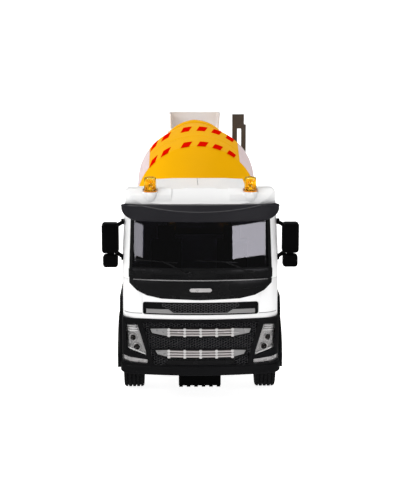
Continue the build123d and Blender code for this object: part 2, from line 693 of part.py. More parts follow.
def knuckle(side):
    """Steering knuckle: kingpin, block, stub axle and a rearward arm with its pin."""
    x = side * KINGPIN_X
    body = block((x - 2.4, x + 2.4), (FRONT_AXLE - 3, FRONT_AXLE + 3), (13.6, 27.4))
    body += rod_z(KINGPIN_R, x, FRONT_AXLE, 10.6, 30.4)
    body += rod_x(AXLE_R, x, side * (TYRE_OUT_X - 2.4), FRONT_AXLE, TYRE_R)
    body += rod_x(3.0, x, side * (TYRE_OUT_X - 14.0), FRONT_AXLE, TYRE_R)
    body += block((x - 2.0, x + 2.0), (FRONT_AXLE + 2, FRONT_AXLE + STEER_ARM + 1.8), (14.6, 16.9))
    body += rod_z(1.0, x, FRONT_AXLE + STEER_ARM, 16.5, 21.0)
    return body


def tie_rod():
    """Track rod with a short slot at each end and one in the middle for the motor's arm."""
    d = FRONT_AXLE + STEER_ARM
    rod = block((-32.0, 32.0), (d - 1.3, d + 1.3), TIE_ROD_Z)
    for x in (-KINGPIN_X, 0.0, KINGPIN_X):
        rod += block((x - 2.5, x + 2.5), (d - 2.5, d + 2.4), TIE_ROD_Z)
        rod -= block((x - 1.12, x + 1.12), (d - 1.75, d + 1.25), (10, 30))
    return rod


def steering_arm():
    """The output arm of the steering motor, swinging with the knuckles."""
    d = FRONT_AXLE + STEER_ARM
    arm = rod_z(2.6, 0, FRONT_AXLE, 6.4, 17.1) + block((-1.8, 1.8), (FRONT_AXLE, d + 1.5), (13.4, 16.4))
    arm += rod_z(1.0, 0, d, 16.0, 21.0)
    return arm


# ---------------------------------------------------------------- wheels


def tyre(x0, x1, d, z):
    """A tyre with a crowned tread and four running grooves, its inner face at x0."""
    width = abs(x1 - x0)
    sign = 1 if x1 > x0 else -1
    shape = [
        (RIM_R, 0.9),
        (RIM_R + 1.6, 0.1),
        (TYRE_R - 2.2, 0.0),
        (TYRE_R - 0.5, 0.8),
        (TYRE_R, 2.0),
        (TYRE_R, width - 2.0),
        (TYRE_R - 0.5, width - 0.8),
        (TYRE_R - 2.2, width),
        (RIM_R + 1.6, width - 0.1),
        (RIM_R, width - 0.9),
    ]
    half = make_face(Polyline(*shape, close=True))
    solid = revolve(Plane.XZ * half, axis=Axis.Z)
    for k in range(4):
        across = width * (0.2 + 0.2 * k)
        solid -= Pos(0, 0, across) * (Cylinder(TYRE_R + 1, 0.9) - Cylinder(TYRE_R - 0.9, 0.9))
    return Pos(x0, at(d), z) * Rot(0, 90 * sign, 0) * solid


def disc(r, low, high, across=0.0):
    """A cylinder standing on local Z between two heights, its axis across from the middle."""
    return Pos(across, 0, (low + high) / 2) * Cylinder(r, high - low)


def rim(x0, x1, d, z, bore, dish, through=False):
    """A wheel disc with a dished face, hand holes, nuts and a hub, its inner edge at x0."""
    width = abs(x1 - x0)
    sign = 1 if x1 > x0 else -1
    face = width - dish
    body = disc(RIM_R - 0.03, 0.5, width - 0.5)
    body -= disc(RIM_R - 1.3, face, face + 20)
    body -= disc(RIM_R - 1.3, -5, face - 2.2)
    body += disc(4.2, 0.6, face + 1.4)
    body += disc(2.9, face, face + min(dish, 4.0))
    for k in range(WHEEL_HOLES):
        turn = 360 / WHEEL_HOLES
        body -= Rot(0, 0, k * turn) * disc(1.3, -width, 2 * width, 8.4)
        body += Rot(0, 0, (k + 0.5) * turn) * disc(0.75, face, face + 1.2, 5.4)
    body -= disc(bore, -1, 2 * width if through else face + 1.2)
    return Pos(x0, at(d), z) * Rot(0, 90 * sign, 0) * body


def dual_spans():
    """Low and high X of the outer and inner rear tyres on one side."""
    outer = (TYRE_OUT_X - REAR_TYRE_W, TYRE_OUT_X)
    inner = (outer[0] - DUAL_GAP - REAR_TYRE_W, outer[0] - DUAL_GAP)
    return outer, inner


def rear_tyres(axle):
    made = []
    for side in (1, -1):
        for x0, x1 in dual_spans():
            made.append(tyre(side * x0, side * x1, axle, TYRE_R))
    return made


def rear_rims(axle):
    outer, inner = dual_spans()
    made = []
    for side in (1, -1):
        made.append(rim(side * outer[0], side * outer[1], axle, TYRE_R, AXLE_R, 5.0))
        made.append(rim(side * inner[0], side * inner[1], axle, TYRE_R, AXLE_R, 2.0, through=True))
    return made


def axle_shaft(axle):
    reach = dual_spans()[0][1] - 5.0
    return rod_x(AXLE_R, -reach, reach, axle, TYRE_R)


# ---------------------------------------------------------------- drum


def drum_plane():
    """Local Z along the drum's axis towards its mouth, local X across the truck, local Y downwards."""
    tilt = math.radians(DRUM_TILT)
    direction = (0, math.cos(tilt), math.sin(tilt))
    return Plane(origin=(0, at(DRUM_STATION), DRUM_Z), x_dir=(1, 0, 0), z_dir=direction)


def cone_r(a):
    """Outside radius of the drum's shell at a distance along its axis."""
    if a < 0:
        return DRUM_R + (CONE_FRONT_R - DRUM_R) * a / CONE_FRONT_A
    if a < BAND_A:
        return DRUM_R
    return DRUM_R + (MOUTH_R - DRUM_R) * (a - BAND_A) / (MOUTH_A - BAND_A)


def lathe(points):
    """A solid of revolution about the drum's axis from radius and axial points."""
    face = make_face(Polyline(*points, close=True))
    return drum_plane().location * revolve(Plane.XZ * face, axis=Axis.Z)


def drum_front_shell():
    w = DRUM_WALL
    shell = lathe(
        [
            (0, -56),
            (DRUM_SHAFT_R, -56),
            (DRUM_SHAFT_R, -46.4),
            (9, -46.4),
            (9, -44.6),
            (CONE_FRONT_R - 2.5, CONE_FRONT_A - 3.0),
            (CONE_FRONT_R, CONE_FRONT_A),
            (DRUM_R, 0),
            (DRUM_R, DRUM_JOINT_A),
            (DRUM_R - w, DRUM_JOINT_A),
            (DRUM_R - w, 0.4),
            (CONE_FRONT_R - w, CONE_FRONT_A + 0.8),
            (CONE_FRONT_R - 3.5, CONE_FRONT_A - 1.2),
            (0, -43.0),
        ]
    )
    return shell


def drum_rear_shell():
    w = DRUM_WALL
    shell = lathe(
        [
            (DRUM_R, DRUM_JOINT_A),
            (DRUM_R, BAND_A),
            (MOUTH_R, MOUTH_A),
            (MOUTH_R + 1.0, MOUTH_A),
            (MOUTH_R + 1.0, MOUTH_A + 3),
            (MOUTH_R - w, MOUTH_A + 3),
            (MOUTH_R - w, MOUTH_A),
            (DRUM_R - w, BAND_A - 0.4),
            (DRUM_R - w, DRUM_JOINT_A),
        ]
    )
    r0 = cone_r(TRACK_A - TRACK_W / 2) - 0.8
    r1 = cone_r(TRACK_A + TRACK_W / 2) - 0.8
    low, high = TRACK_A - TRACK_W / 2, TRACK_A + TRACK_W / 2
    shell += lathe([(r0, low), (TRACK_R, low), (TRACK_R, high), (r1, high)])
    for start in (0.0, 180.0):
        shell += mixing_blade(start)
    return shell


def mixing_blade(start):
    """A spiral row of overlapping paddles on the inside of the rear cone."""
    plane = drum_plane()
    row = None
    for k in range(9):
        a = 88.0 + 4.6 * k
        r = cone_r(a) - DRUM_WALL / 2
        paddle = Pos(r - 3.0, 0, a) * Rot(28, 0, 0) * Box(6.0, 10.5, 1.3)
        placed = plane.location * (Rot(0, 0, start + 26.0 * k) * paddle)
        row = placed if row is None else row + placed
    return row & lathe([(0, 80), (cone_r(80) - 0.4, 80), (MOUTH_R - 0.4, MOUTH_A + 1), (0, MOUTH_A + 1)])


def drum_gear(teeth, down, turn, bore):
    face = Pos(0, down, -49.4) * (Rot(0, 0, turn) * gear_outline(teeth, DRUM_MODULE, 0.8))
    gear = extrude(face, amount=2.8, dir=(0, 0, 1)) - Pos(0, down, -48) * Cylinder(bore, 10)
    return drum_plane().location * gear


def drum_pedestal():
    """The stand in front of the drum: bearing head, hollow for the drum's motor, and two legs."""
    plane = drum_plane()
    head = Pos(0, 8.0, -56.6) * Box(30, 40, 12.6)
    head = soften(head, head.edges().filter_by(Axis.Z), 3.0)
    head -= Pos(0, 0, -56) * Cylinder(DRUM_SHAFT_R + RUNNING, 30)
    head -= Pos(0, DRUM_DISTANCE, -57.0) * Cylinder(5.8, 11.2)
    head -= Pos(0, DRUM_DISTANCE, -50) * Cylinder(2.2, 10)
    stand = plane.location * head
    leg_side = [(103.5, ON_RAILS_Z), (105, 100), (116, 88), (127, ON_RAILS_Z)]
    for side in (1, -1):
        stand += prism_x(leg_side, *sorted((side * 11, side * 16.2)))
    stand += block((-16.2, 16.2), (103.5, 127), (ON_RAILS_Z, 53.5))
    stand -= plane.location * (Pos(0, DRUM_DISTANCE, -57.0) * Cylinder(5.8, 11.2))
    return stand - plane.location * (Pos(0, 0, -20.2) * Cylinder(60, 60))


def roller_place(side):
    """Local X and Y of a roller's axis in the drum's plane."""
    reach = TRACK_R + ROLLER_R + 0.12
    angle = math.radians(ROLLER_ANGLE)
    return side * reach * math.sin(angle), reach * math.cos(angle)


def roller(side):
    x, y = roller_place(side)
    wheel = Pos(x, y, TRACK_A) * (Cylinder(ROLLER_R, 5.4) + Cylinder(AXLE_R, 13.0))
    return drum_plane().location * wheel


def rear_frame():
    """Stand behind the drum: uprights, roller forks, a hoop for the hopper and the discharge collector."""
    plane = drum_plane()
    leg_side = [(262, ON_RAILS_Z), (262.5, 96), (277, 96), (286, ON_RAILS_Z)]
    leg_hole = [(267, 55), (267, 84), (273.5, 84), (279, 55)]
    frame = None
    for side in (1, -1):
        x, y = roller_place(side)
        for a in (TRACK_A - 5.2, TRACK_A + 5.2):
            ear = Pos(x, y + 4.6, a) * Box(9.0, 15.0, 2.2)
            ear -= Pos(x, y, a) * Cylinder(AXLE_R + RUNNING, 10)
            ear = plane.location * ear
            frame = ear if frame is None else frame + ear
        leg = prism_x(leg_side, *sorted((side * 17.2, side * 24.2)))
        leg -= prism_x(leg_hole, -40, 40, radius=1.2)
        frame += leg
        foot = block(sorted((side * 12.5, side * 24.2)), (262, 286), (ON_RAILS_Z, 53))
        post = block(sorted((side * 19.5, side * 23.0)), (300, 304), (ON_RAILS_Z, POST_TOP_Z))
        frame += foot + post
        frame += block(sorted((side * 12.6, side * 23.0)), (286, 304), (ON_RAILS_Z, 53))
        frame += prism_x([(276, 88), (276, 93), (303, 122), (303, 116)], *sorted((side * 19.5, side * 22.0)))
    frame += block((-24, 24), (270, 277), (90, 96))
    frame += block((-20, 20), (300.4, 304), (66, 72))
    frame += rod_z(4.4, 0, CHUTE_PIVOT, 66.0, SWIVEL_Z[0] - 0.3)
    frame += block((-4.4, 4.4), (300.4, CHUTE_PIVOT), (66, 75.7))
    collector = prism_y([(-19.4, 119.5), (19.4, 119.5), (10, 99.5), (-10, 99.5)], 297.5, 322)
    collector -= prism_y([(-18.1, 121), (18.1, 121), (8.8, 97), (-8.8, 97)], 298.8, 320.7)
    frame += collector
    frame += block((-22, 22), (301, 303.4), (104, 118)) - block((-17, 17), (297, 310), (100, 119))
    return frame - rod_z(SWIVEL_R + RUNNING, 0, CHUTE_PIVOT, 68, 79)


def hopper():
    """Charging hopper: an upright box open to the front, above a funnel and a spout into the drum."""
    bottom = [(-9, 300.0), (9, 300.0), (9, 312), (-9, 312)]
    waist = [(-20.6, 299.4), (20.6, 299.4), (20.6, 316.4), (-20.6, 316.4)]
    top = [(-21.8, 299.0), (21.8, 299.0), (21.8, 317), (-21.8, 317)]

    def level(points, z, grow, radius):
        return Pos(0, 0, z) * offset(face_of([(x, at(d)) for x, d in points], radius), grow)

    def funnel(grow, lift, head):
        low = level(bottom, HOPPER_LOW_Z + lift, grow, 1.8)
        middle = level(waist, HOPPER_WAIST_Z + lift, grow, 2.8)
        high = level(top, HOPPER_TOP_Z + head, grow, 3.2)
        return loft([low, middle]) + loft([middle, high])

    body = funnel(0, 0, 0) - funnel(-1.2, 1.1, 0.1)
    body -= block((-20.2, 20.2), (290, 301.4), (151.0, 170))
    spout = prism_x([(291.5, 138.6), (291.5, 140.0), (301, 145.6), (302, 142.6)], -8.2, 8.2)
    cheek = [(291.5, 138.6), (292.5, 150.0), (301, 150.9), (302, 142.6)]
    for side in (1, -1):
        spout += prism_x(cheek, *sorted((side * 7.1, side * 8.2)))
    body -= block((-6.8, 6.8), (295, 301.6), (145.8, 152.6))
    body += spout
    for side in (1, -1):
        body += block(sorted((side * 17.0, side * 23.0)), (299.6, 306), (POST_TOP_Z + 0.05, POST_TOP_Z + 2.2))
    return body - funnel(-1.2, 1.1, 0.1)


def chute_plane():
    """Local X across, local Z down the chute, local Y out of its open side."""
    slope = math.radians(CHUTE_SLOPE)
    direction = (0, math.cos(slope), -math.sin(slope))
    return Plane(origin=(0, at(CHUTE_TOP), CHUTE_TOP_Z), x_dir=(-1, 0, 0), z_dir=direction)


def gutter(z0, length, rim_y, side):
    """A half-round gutter whose open side faces local +Y, or -Y when side is -1."""
    low = (Align.CENTER, Align.CENTER, Align.MIN)
    outer = Pos(0, rim_y, z0) * Cylinder(CHUTE_R, length, align=low)
    inner = Pos(0, rim_y, z0 - 1) * Cylinder(CHUTE_R - CHUTE_WALL, length + 2, align=low)
    open_half = Pos(0, rim_y + side * CHUTE_R, z0 + length / 2) * Box(4 * CHUTE_R, 2 * CHUTE_R, 2 * length)
    rails = None
    for x in (-CHUTE_R - 0.3, CHUTE_R + 0.3):
        rail = Pos(x, rim_y - side * 0.7, z0 + length / 2) * Box(1.4, 1.4, length)
        rails = rail if rails is None else rails + rail
    return outer - inner - open_half + rails


def hinge_at():
    """Local Y and Z of the extension's hinge."""
    return (EXTENSION_GAP / 2 - CHUTE_RIM, CHUTE_LENGTH - HINGE_FROM_END)


def main_chute():
    """Upper gutter with its hinge ears, on a bracket that turns on the rear frame's post."""
    hinge_y, hinge_z = hinge_at()
    body = gutter(0, CHUTE_LENGTH, -CHUTE_RIM, 1)
    for x in (-CHUTE_R - 0.55, CHUTE_R + 0.55):
        body += Pos(x, hinge_y, hinge_z) * Rot(0, 90, 0) * Cylinder(1.7, 1.1)
    body -= Pos(0, hinge_y, hinge_z) * Rot(0, 90, 0) * Cylinder(HINGE_PIN_R + RUNNING, 4 * CHUTE_R)
    body = chute_plane().location * body
    under = chute_plane().location * (Pos(0, -CHUTE_RIM, -20) * Cylinder(CHUTE_R - 0.3, 120))
    bracket = block((-5, 5), (CHUTE_PIVOT - 4.6, CHUTE_PIVOT + 8), (SWIVEL_Z[0], 92))
    bracket &= rod_z(9.5, 0, CHUTE_PIVOT, SWIVEL_Z[0], 92)
    bracket -= under
    bracket -= block((-10, 10), (CHUTE_PIVOT - 6, CHUTE_PIVOT + 12), (92 - 2.6, 100))
    return body + bracket + rod_z(SWIVEL_R, 0, CHUTE_PIVOT, 68.2, SWIVEL_Z[1])


def chute_extension():
    """Lower gutter, folded face down over the first and hinged at its end."""
    hinge_y, hinge_z = hinge_at()
    top = hinge_z - 1.9 - EXTENSION_LENGTH
    body = gutter(top, EXTENSION_LENGTH, EXTENSION_GAP - CHUTE_RIM, -1)
    for side in (1, -1):
        ear = Pos(side * (CHUTE_R + 1.8), hinge_y, hinge_z) * Rot(0, 90, 0) * Cylinder(2.0, 1.2)
        arm = Pos(side * (CHUTE_R + 1.8), 1.4, hinge_z - 2.4) * Box(1.2, 2.0, 5.2)
        link = Pos(side * (CHUTE_R + 1.1), 1.4, hinge_z - 4.2) * Box(2.6, 2.0, 3.2)
        pin = Pos(side * (CHUTE_R + 0.9), hinge_y, hinge_z) * Rot(0, 90, 0) * Cylinder(HINGE_PIN_R, 1.8)
        body += ear + arm + link + pin
    return chute_plane().location * body


# ---------------------------------------------------------------- body fittings


def water_tank():
    tank = rod_x(9.4, -38, 38, 91.2, 69.5)
    tank = soften(tank, tank.edges().sort_by(Axis.X)[0], 2.5)
    tank = soften(tank, tank.edges().sort_by(Axis.X)[-1], 2.5)
    tank += rod_z(2.6, 24, 91.2, 78, 80.6)
    for side in (1, -1):
        tank += block(sorted((side * 12.6, side * 16.4)), (85, 97.4), (ON_RAILS_Z, 66))
    return tank


def fuel_tank():
    tank = block((-46, -26), (98, 140), (19, 41))
    tank = soften(tank, tank.edges().filter_by(Axis.Y), 3.2)
    tank += rod_z(2.4, -38, 108, 40.5, 43.4)
    for d in (106, 132):
        strap = block((-46.4, -25.8), (d - 1.6, d + 1.6), (18.6, 41.4))
        tank += soften(strap, strap.edges().filter_by(Axis.Y), 3.4)
    tank += block((-26.2, -16.6), (117, 121), (41.2, 44.5)) + block((-30, -26), (117, 121), (38, 44.5))
    return tank


def air_tanks():
    """Two air cylinders and the toolbox on the truck's left side."""
    made = []
    for z in (36.0, 25.0):
        tank = rod_y(4.9, 40.6, 98, 118, z)
        tank = soften(tank, tank.edges().sort_by(Axis.Y)[0], 1.5)
        made.append(soften(tank, tank.edges().sort_by(Axis.Y)[-1], 1.5))
    carrier = block((27, 35.4), (98, 118), (20, 42)) + block((16.6, 35.4), (106, 110), (41.0, 44.5))
    tool = block((27, 46), (121, 148), (19, 41))
    tool = soften(tool, tool.edges().filter_by(Axis.Y), 1.8)
    tool -= block((45.6, 47), (124, 145), (22, 22.5)) + block((45.6, 47), (124, 145), (37, 37.5))
    tool += block((16.6, 28), (132, 136), (41.0, 44.5)) + block((26.9, 28.9), (132, 136), (38, 44.5))
    made += [carrier, tool]
    return made


def side_guards():
    made = []
    for side in (1, -1):
        guard = None
        for z in (21.0, 29.5, 38.0):
            bar = block(sorted((side * 47.2, side * 48.8)), (88, 173), (z - 1.5, z + 1.5))
            guard = bar if guard is None else guard + bar
        for d in (94.5, 144.5, 166):
            reach = 40 if d < 160 else 17
            guard += block(sorted((side * 46.6, side * 48.2)), (d - 1.4, d + 1.4), (19.5, 39.5))
            if d > 160:
                guard += block(sorted((side * 21.1, side * 48.2)), (d - 1.4, d + 1.4), (36.6, 39.5))
                guard += block(sorted((side * 20.0, side * 23.0)), (d - 1.4, d + 1.4), (36.6, 42.9))
        made.append(guard)
    return made


def rear_mudguards():
    made = []
    for side in (1, -1):
        guard = None
        hollow = None
        span = sorted((side * 25.6, side * 51.4))
        for axle in REAR_AXLES:
            arch = rod_x(24.4, *span, axle, TYRE_R)
            gap = rod_x(23.1, span[0] - 1, span[1] + 1, axle, TYRE_R)
            guard = arch if guard is None else guard + arch
            hollow = gap if hollow is None else hollow + gap
        middle = (REAR_AXLES[0] + REAR_AXLES[1]) / 2
        guard += block(span, (middle - 8, middle + 8), (32, 43.5))
        guard -= hollow
        guard &= block((-60, 60), (170, 285), (20, 60))
        guard -= block((span[0] - 1, span[1] + 1), (middle - 7, middle + 7), (20, 33.5))
        guard += block(span, (274.2, 275.6), (8, 22))
        guard += block(sorted((side * 16.6, side * 30)), (middle - 2, middle + 2), (40.6, 43.4))
        made.append(guard)
    return made


def rear_bumper():
    bar = block((-46, 46), (299, 303), (25, 34))
    bar = soften(bar, bar.edges().filter_by(Axis.X), 1.0)
    for side in (1, -1):
        bar += block(sorted((side * 12.5, side * 16.5)), (292, 300), (30, 39.9))
        bar += block(sorted((side * 27, side * 45)), (302.5, 305), (25.6, 33.4))
    return bar


def tail_lamps():
    made = []
    for side in (1, -1):
        lamp = block(sorted((side * 28, side * 44)), (305.05, 306.4), (26.6, 32.4))
        made.append(soften(lamp, lamp.edges().filter_by(Axis.Y), 0.8))
    return made


def ladder():
    """Upright ladder beside the hopper, with a closed head and wide rungs."""
    x0, x1 = LADDER_X
    body = block((x0, x1), LADDER_SPAN, (36, 153.5))
    body = soften(body, body.edges().filter_by(Axis.Z), 0.5)
    body += block((x0, x1 - 1.7), (LADDER_SPAN[0] + 0.2, LADDER_SPAN[1] - 0.2), (152, 162.2))
    for k in range(5):
        low = 133.6 - 20.0 * k
        body -= block((x0 + 4.2, x1 - 4.0), (300, 315), (low, low + 16.5))
    body += block((23.1, x0 + 1), (301, 306.4), (104, 108)) + block((16.6, x0 + 1), (303.1, 306.4), (40, 44))
    body += block((12.6, 20), (302.05, 306.4), (40, 44))
    return body


# ---------------------------------------------------------------- assembly


def group(shapes):
    """Several solids kept apart in one node."""
    solids = []
    for shape in shapes:
        solids += list(shape.solids())
    return Compound(children=[Solid(s.wrapped) for s in solids])


def gears():
    toward = DRIVE_ANGLE
    axle = gear_x(AXLE_TEETH, DRIVE_MODULE, 0.8, 5.2, 8.6, REAR_AXLES[0], TYRE_R, toward, AXLE_R)
    back = toward + 180 + 180 / DRIVE_PINION_TEETH
    pinion = gear_x(DRIVE_PINION_TEETH, DRIVE_MODULE, 1.0, 5.0, 8.8, *DRIVE_MOTOR, back, MOTOR_SHAFT_R)
    ring = drum_gear(RING_TEETH, 0, 90.0, DRUM_SHAFT_R)
    small = drum_gear(DRUM_PINION_TEETH, DRUM_DISTANCE, 270 + 180 / DRUM_PINION_TEETH, MOTOR_SHAFT_R)
    return axle, pinion, ring, small


def front_wheel(side):
    x0 = side * (TYRE_OUT_X - FRONT_TYRE_W)
    x1 = side * TYRE_OUT_X
    return tyre(x0, x1, FRONT_AXLE, TYRE_R), rim(x0, x1, FRONT_AXLE, TYRE_R, AXLE_R + RUNNING, 3.4)


def nodes():
    axle_gear, drive_pinion, ring_gear, drum_pinion = gears()
    left_tyre, left_rim = front_wheel(1)
    right_tyre, right_rim = front_wheel(-1)
    made = {
        "cab_shell": cab_shell(),
        "roof_panel": roof_panel(),
        "cab_glazing": glazing(),
        "cab_interior": cab_interior(),
        "sun_visor": sun_visor(),
        "windscreen_cowl": windscreen_cowl(),
        "wipers": [wiper(*spot) for spot in WIPERS],
        "front_panel": panel_on_cab(FRONT_PANEL, -0.8, -0.03, radius=0.6),
        "bumper": bumper(),
        "grille_meshes": grille_meshes(),
        "grille_brightwork": grille_brightwork(),
        "headlamp_reflectors": cab_front_lamps(HEADLAMP, 2.15, 3.4, 0.8, depth=13.2),
        "lamp_lenses": lamp_lenses(),
        "beacon_lenses": beacons(),
        "mirrors": mirrors(),
        "front_fenders": front_fenders(),
        "chassis_frame": chassis_frame(),
        "battery_box": battery_box(),
        "battery_door": battery_door(),
        "battery_cells": battery_cells(),
        "power_switch": power_switch(),
        "circuit_board": circuit_board(),
        "gear_housing": gear_housing(),
        "motors": motors(),
        "steering_box": [steering_box(), *front_axle_beam()],
        "knuckle_left": knuckle(1),
        "knuckle_right": knuckle(-1),
        "tie_rod": tie_rod(),
        "steering_arm": steering_arm(),
        "front_left_tyre": left_tyre,
        "front_left_rim": left_rim,
        "front_right_tyre": right_tyre,
        "front_right_rim": right_rim,
        "drive_pinion": drive_pinion,
        "drum_front_shell": drum_front_shell(),
        "drum_rear_shell": drum_rear_shell(),
        "drum_ring_gear": ring_gear,
        "drum_pinion": drum_pinion,
        "drum_pedestal": drum_pedestal(),
        "drum_roller_left": roller(1),
        "drum_roller_right": roller(-1),
        "rear_frame": rear_frame(),
        "hopper": hopper(),
        "main_chute": main_chute(),
        "chute_extension": chute_extension(),
        "water_tank": water_tank(),
        "fuel_tank": fuel_tank(),
        "air_tanks": air_tanks(),
        "side_guards": side_guards(),
        "rear_mudguards": rear_mudguards(),
        "rear_bumper": rear_bumper(),
        "tail_lamps": tail_lamps(),
        "ladder": ladder(),
    }
    for number, axle in enumerate(REAR_AXLES, start=1):
        made[f"rear_axle_{number}_shaft"] = axle_shaft(axle)
        made[f"rear_axle_{number}_tyres"] = rear_tyres(axle)
        made[f"rear_axle_{number}_rims"] = rear_rims(axle)
    made["axle_gear"] = axle_gear
    return made


for name, shape in nodes().items():
    pieces = shape if isinstance(shape, list) else [shape]
    export_step(group(pieces), f"parts/{name}.step")
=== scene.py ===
"""Looks of the toy cement mixer truck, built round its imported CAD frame.

Sizes are millimetres in the row frame and turned into metres by MM. Stations along the
truck are distances behind the nose, turned into Y by y_at().
"""

import json
import math

import bmesh
import bpy
from mathutils import Matrix, Vector


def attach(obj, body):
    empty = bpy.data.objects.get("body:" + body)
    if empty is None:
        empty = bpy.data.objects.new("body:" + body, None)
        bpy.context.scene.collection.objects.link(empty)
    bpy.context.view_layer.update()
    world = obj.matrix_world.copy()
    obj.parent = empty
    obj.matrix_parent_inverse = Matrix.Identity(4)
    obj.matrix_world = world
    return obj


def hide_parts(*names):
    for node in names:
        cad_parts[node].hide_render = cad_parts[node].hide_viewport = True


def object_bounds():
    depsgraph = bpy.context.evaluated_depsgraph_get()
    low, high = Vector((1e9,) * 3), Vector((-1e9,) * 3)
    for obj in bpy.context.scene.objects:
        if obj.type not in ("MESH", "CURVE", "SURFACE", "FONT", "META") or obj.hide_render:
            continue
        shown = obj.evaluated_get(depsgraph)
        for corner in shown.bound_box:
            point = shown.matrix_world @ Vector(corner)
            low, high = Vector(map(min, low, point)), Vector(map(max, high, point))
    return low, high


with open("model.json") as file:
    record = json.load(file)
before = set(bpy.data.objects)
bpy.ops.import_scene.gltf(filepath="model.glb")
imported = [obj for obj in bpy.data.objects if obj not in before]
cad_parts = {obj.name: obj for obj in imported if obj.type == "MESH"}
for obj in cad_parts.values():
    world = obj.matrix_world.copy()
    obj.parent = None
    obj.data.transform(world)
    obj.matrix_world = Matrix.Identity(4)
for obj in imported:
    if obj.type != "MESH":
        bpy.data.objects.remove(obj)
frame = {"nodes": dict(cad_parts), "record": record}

CAD_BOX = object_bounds()
MM = 0.001
FRONT = CAD_BOX[0][1] / MM

# Bowed fronts in plan: station of the middle, sag at the sides, half width, corner radius
CAB = (1.4, 7.0, 49.5, 11.0)
BUMPER = (1.0, 7.2, 50.3, 8.5)
GLASS_LOW_Z, GLASS_LEAN = 91.0, 8.5 / 49.0

# The drum's axis and shape, with places along the axis counted from its front rim
DRUM_STATION, DRUM_Z, DRUM_TILT = 168.0, 108.3, math.radians(14.5)
DRUM_R, DRUM_WALL = 45.0, 1.6
BAND_A, JOINT_A = 42.0, 21.0
CONE_FRONT_R, CONE_FRONT_A = 25.0, -40.0
MOUTH_R, MOUTH_A = 17.9, 130.0
TRACK_A, TRACK_R, TRACK_W = 104.0, 27.2, 5.0
SHAFT_R = 3.0

# The printed pattern: two yellow sectors with red marks, and white ones between them
YELLOW_SECTOR = (-52.5, 45.0)
MARK_ANGLES = (-46.0, -31.0, -10.0, 5.5, 20.0, 35.0)
MARK_ROWS = (4.0, 36.5)
MARK_WIDE, MARK_LONG, MARK_LEAN = 8.2, 9.6, 3.2
FILM = 0.12

# Cap bolts on the drum's front, and the mixing fins: first place, length along the axis and turn
BOLTS, BOLT_CIRCLE_R, BOLT_A = 12, 17.5, -44.2
FIN_A, FIN_LONG, FIN_TURN, FIN_STEPS = 86.0, 42.0, math.radians(210), 48
DRUM_STEPS = 160

# Tyres, with the count of steps round one and of the steps from one cut in its tread to the next
TYRE_R, RIM_R = 20.5, 12.6
TYRE_STEPS, BLOCK_STEPS = 150, 5
TYRE_OUT_X, FRONT_TYRE_W, REAR_TYRE_W, DUAL_GAP = 50.5, 13.4, 10.4, 1.6
FRONT_AXLE, REAR_AXLES = 54.0, (199.0, 251.0)

# Lower grille: heights of its foot and head, and its half width at each
GRILLE_Z = (28.6, 56.4)
GRILLE_HALF = (29.6, 36.9)

# The slot above it, the honeycomb's cells in both, and the posts and slats of the vanes
SLOT_Z, SLOT_HALF, SLOT_ROUND = (61.5, 69.6), 36.7, 1.8
CELL_W, CELL_H, WEB = 2.2, 1.6, 0.44
POST_GAP, POST_HALF = 10.1, 0.95
SLAT_PITCH, SLAT_HALF = 1.62, 0.46

BEACON_X, BEACON_STATION, BEACON_Z = 31.6, 16.0, 138.2
BEACON_RIBS = 12

# Mirror glasses: lower and upper edge and half width of each, at the same place across and along
MIRROR_X, MIRROR_STATION = 57.0, 15.72
MIRROR_GLASSES = ((101.2, 117.2, 4.2), (91.6, 97.2, 3.6))

# Points closer than these, in metres, become one: in the frame's meshes and in the pieces made here
FRAME_WELD, PIECE_WELD = 0.000005, 0.00002


def y_at(station):
    """Y in millimetres of a station behind the nose."""
    return FRONT + station


def front_station(form, x, inset=0.0):
    """Station of a bowed front with rounded corners, at x and shrunk by inset."""
    nose, sag, half, corner = form
    big = (half**2 + sag**2) / (2 * sag)
    middle = half - corner
    x = min(abs(x), half - inset - 0.05)
    if x < middle * (big - inset) / (big - corner):
        return nose + big - math.sqrt((big - inset) ** 2 - x**2)
    corner_station = nose + big - math.sqrt((big - corner) ** 2 - middle**2)
    return corner_station - math.sqrt((corner - inset) ** 2 - (x - middle) ** 2)


def on_bumper(x, z, inset=0.0):
    return (x, y_at(front_station(BUMPER, x, inset)), z)


def on_cab(x, z, inset=0.0):
    lean = max(0.0, z - GLASS_LOW_Z) * GLASS_LEAN
    return (x, y_at(front_station(CAB, x, inset) + lean), z)


# ---------- materials


def node(tree, kind, **values):
    made = tree.nodes.new(kind)
    for key, value in values.items():
        if hasattr(made, key):
            setattr(made, key, value)
        else:
            made.inputs[key.replace("_", " ")].default_value = value
    return made


def ramp(tree, source, stops):
    """A colour ramp on a value, from (position, grey or colour) stops."""
    made = tree.nodes.new("ShaderNodeValToRGB")
    while len(made.color_ramp.elements) < len(stops):
        made.color_ramp.elements.new(0.5)
    for element, (place, shade) in zip(made.color_ramp.elements, stops):
        element.position = place
        element.color = (*shade, 1) if isinstance(shade, tuple) else (shade, shade, shade, 1)
    tree.links.new(source, made.inputs[0])
    return made.outputs[0]


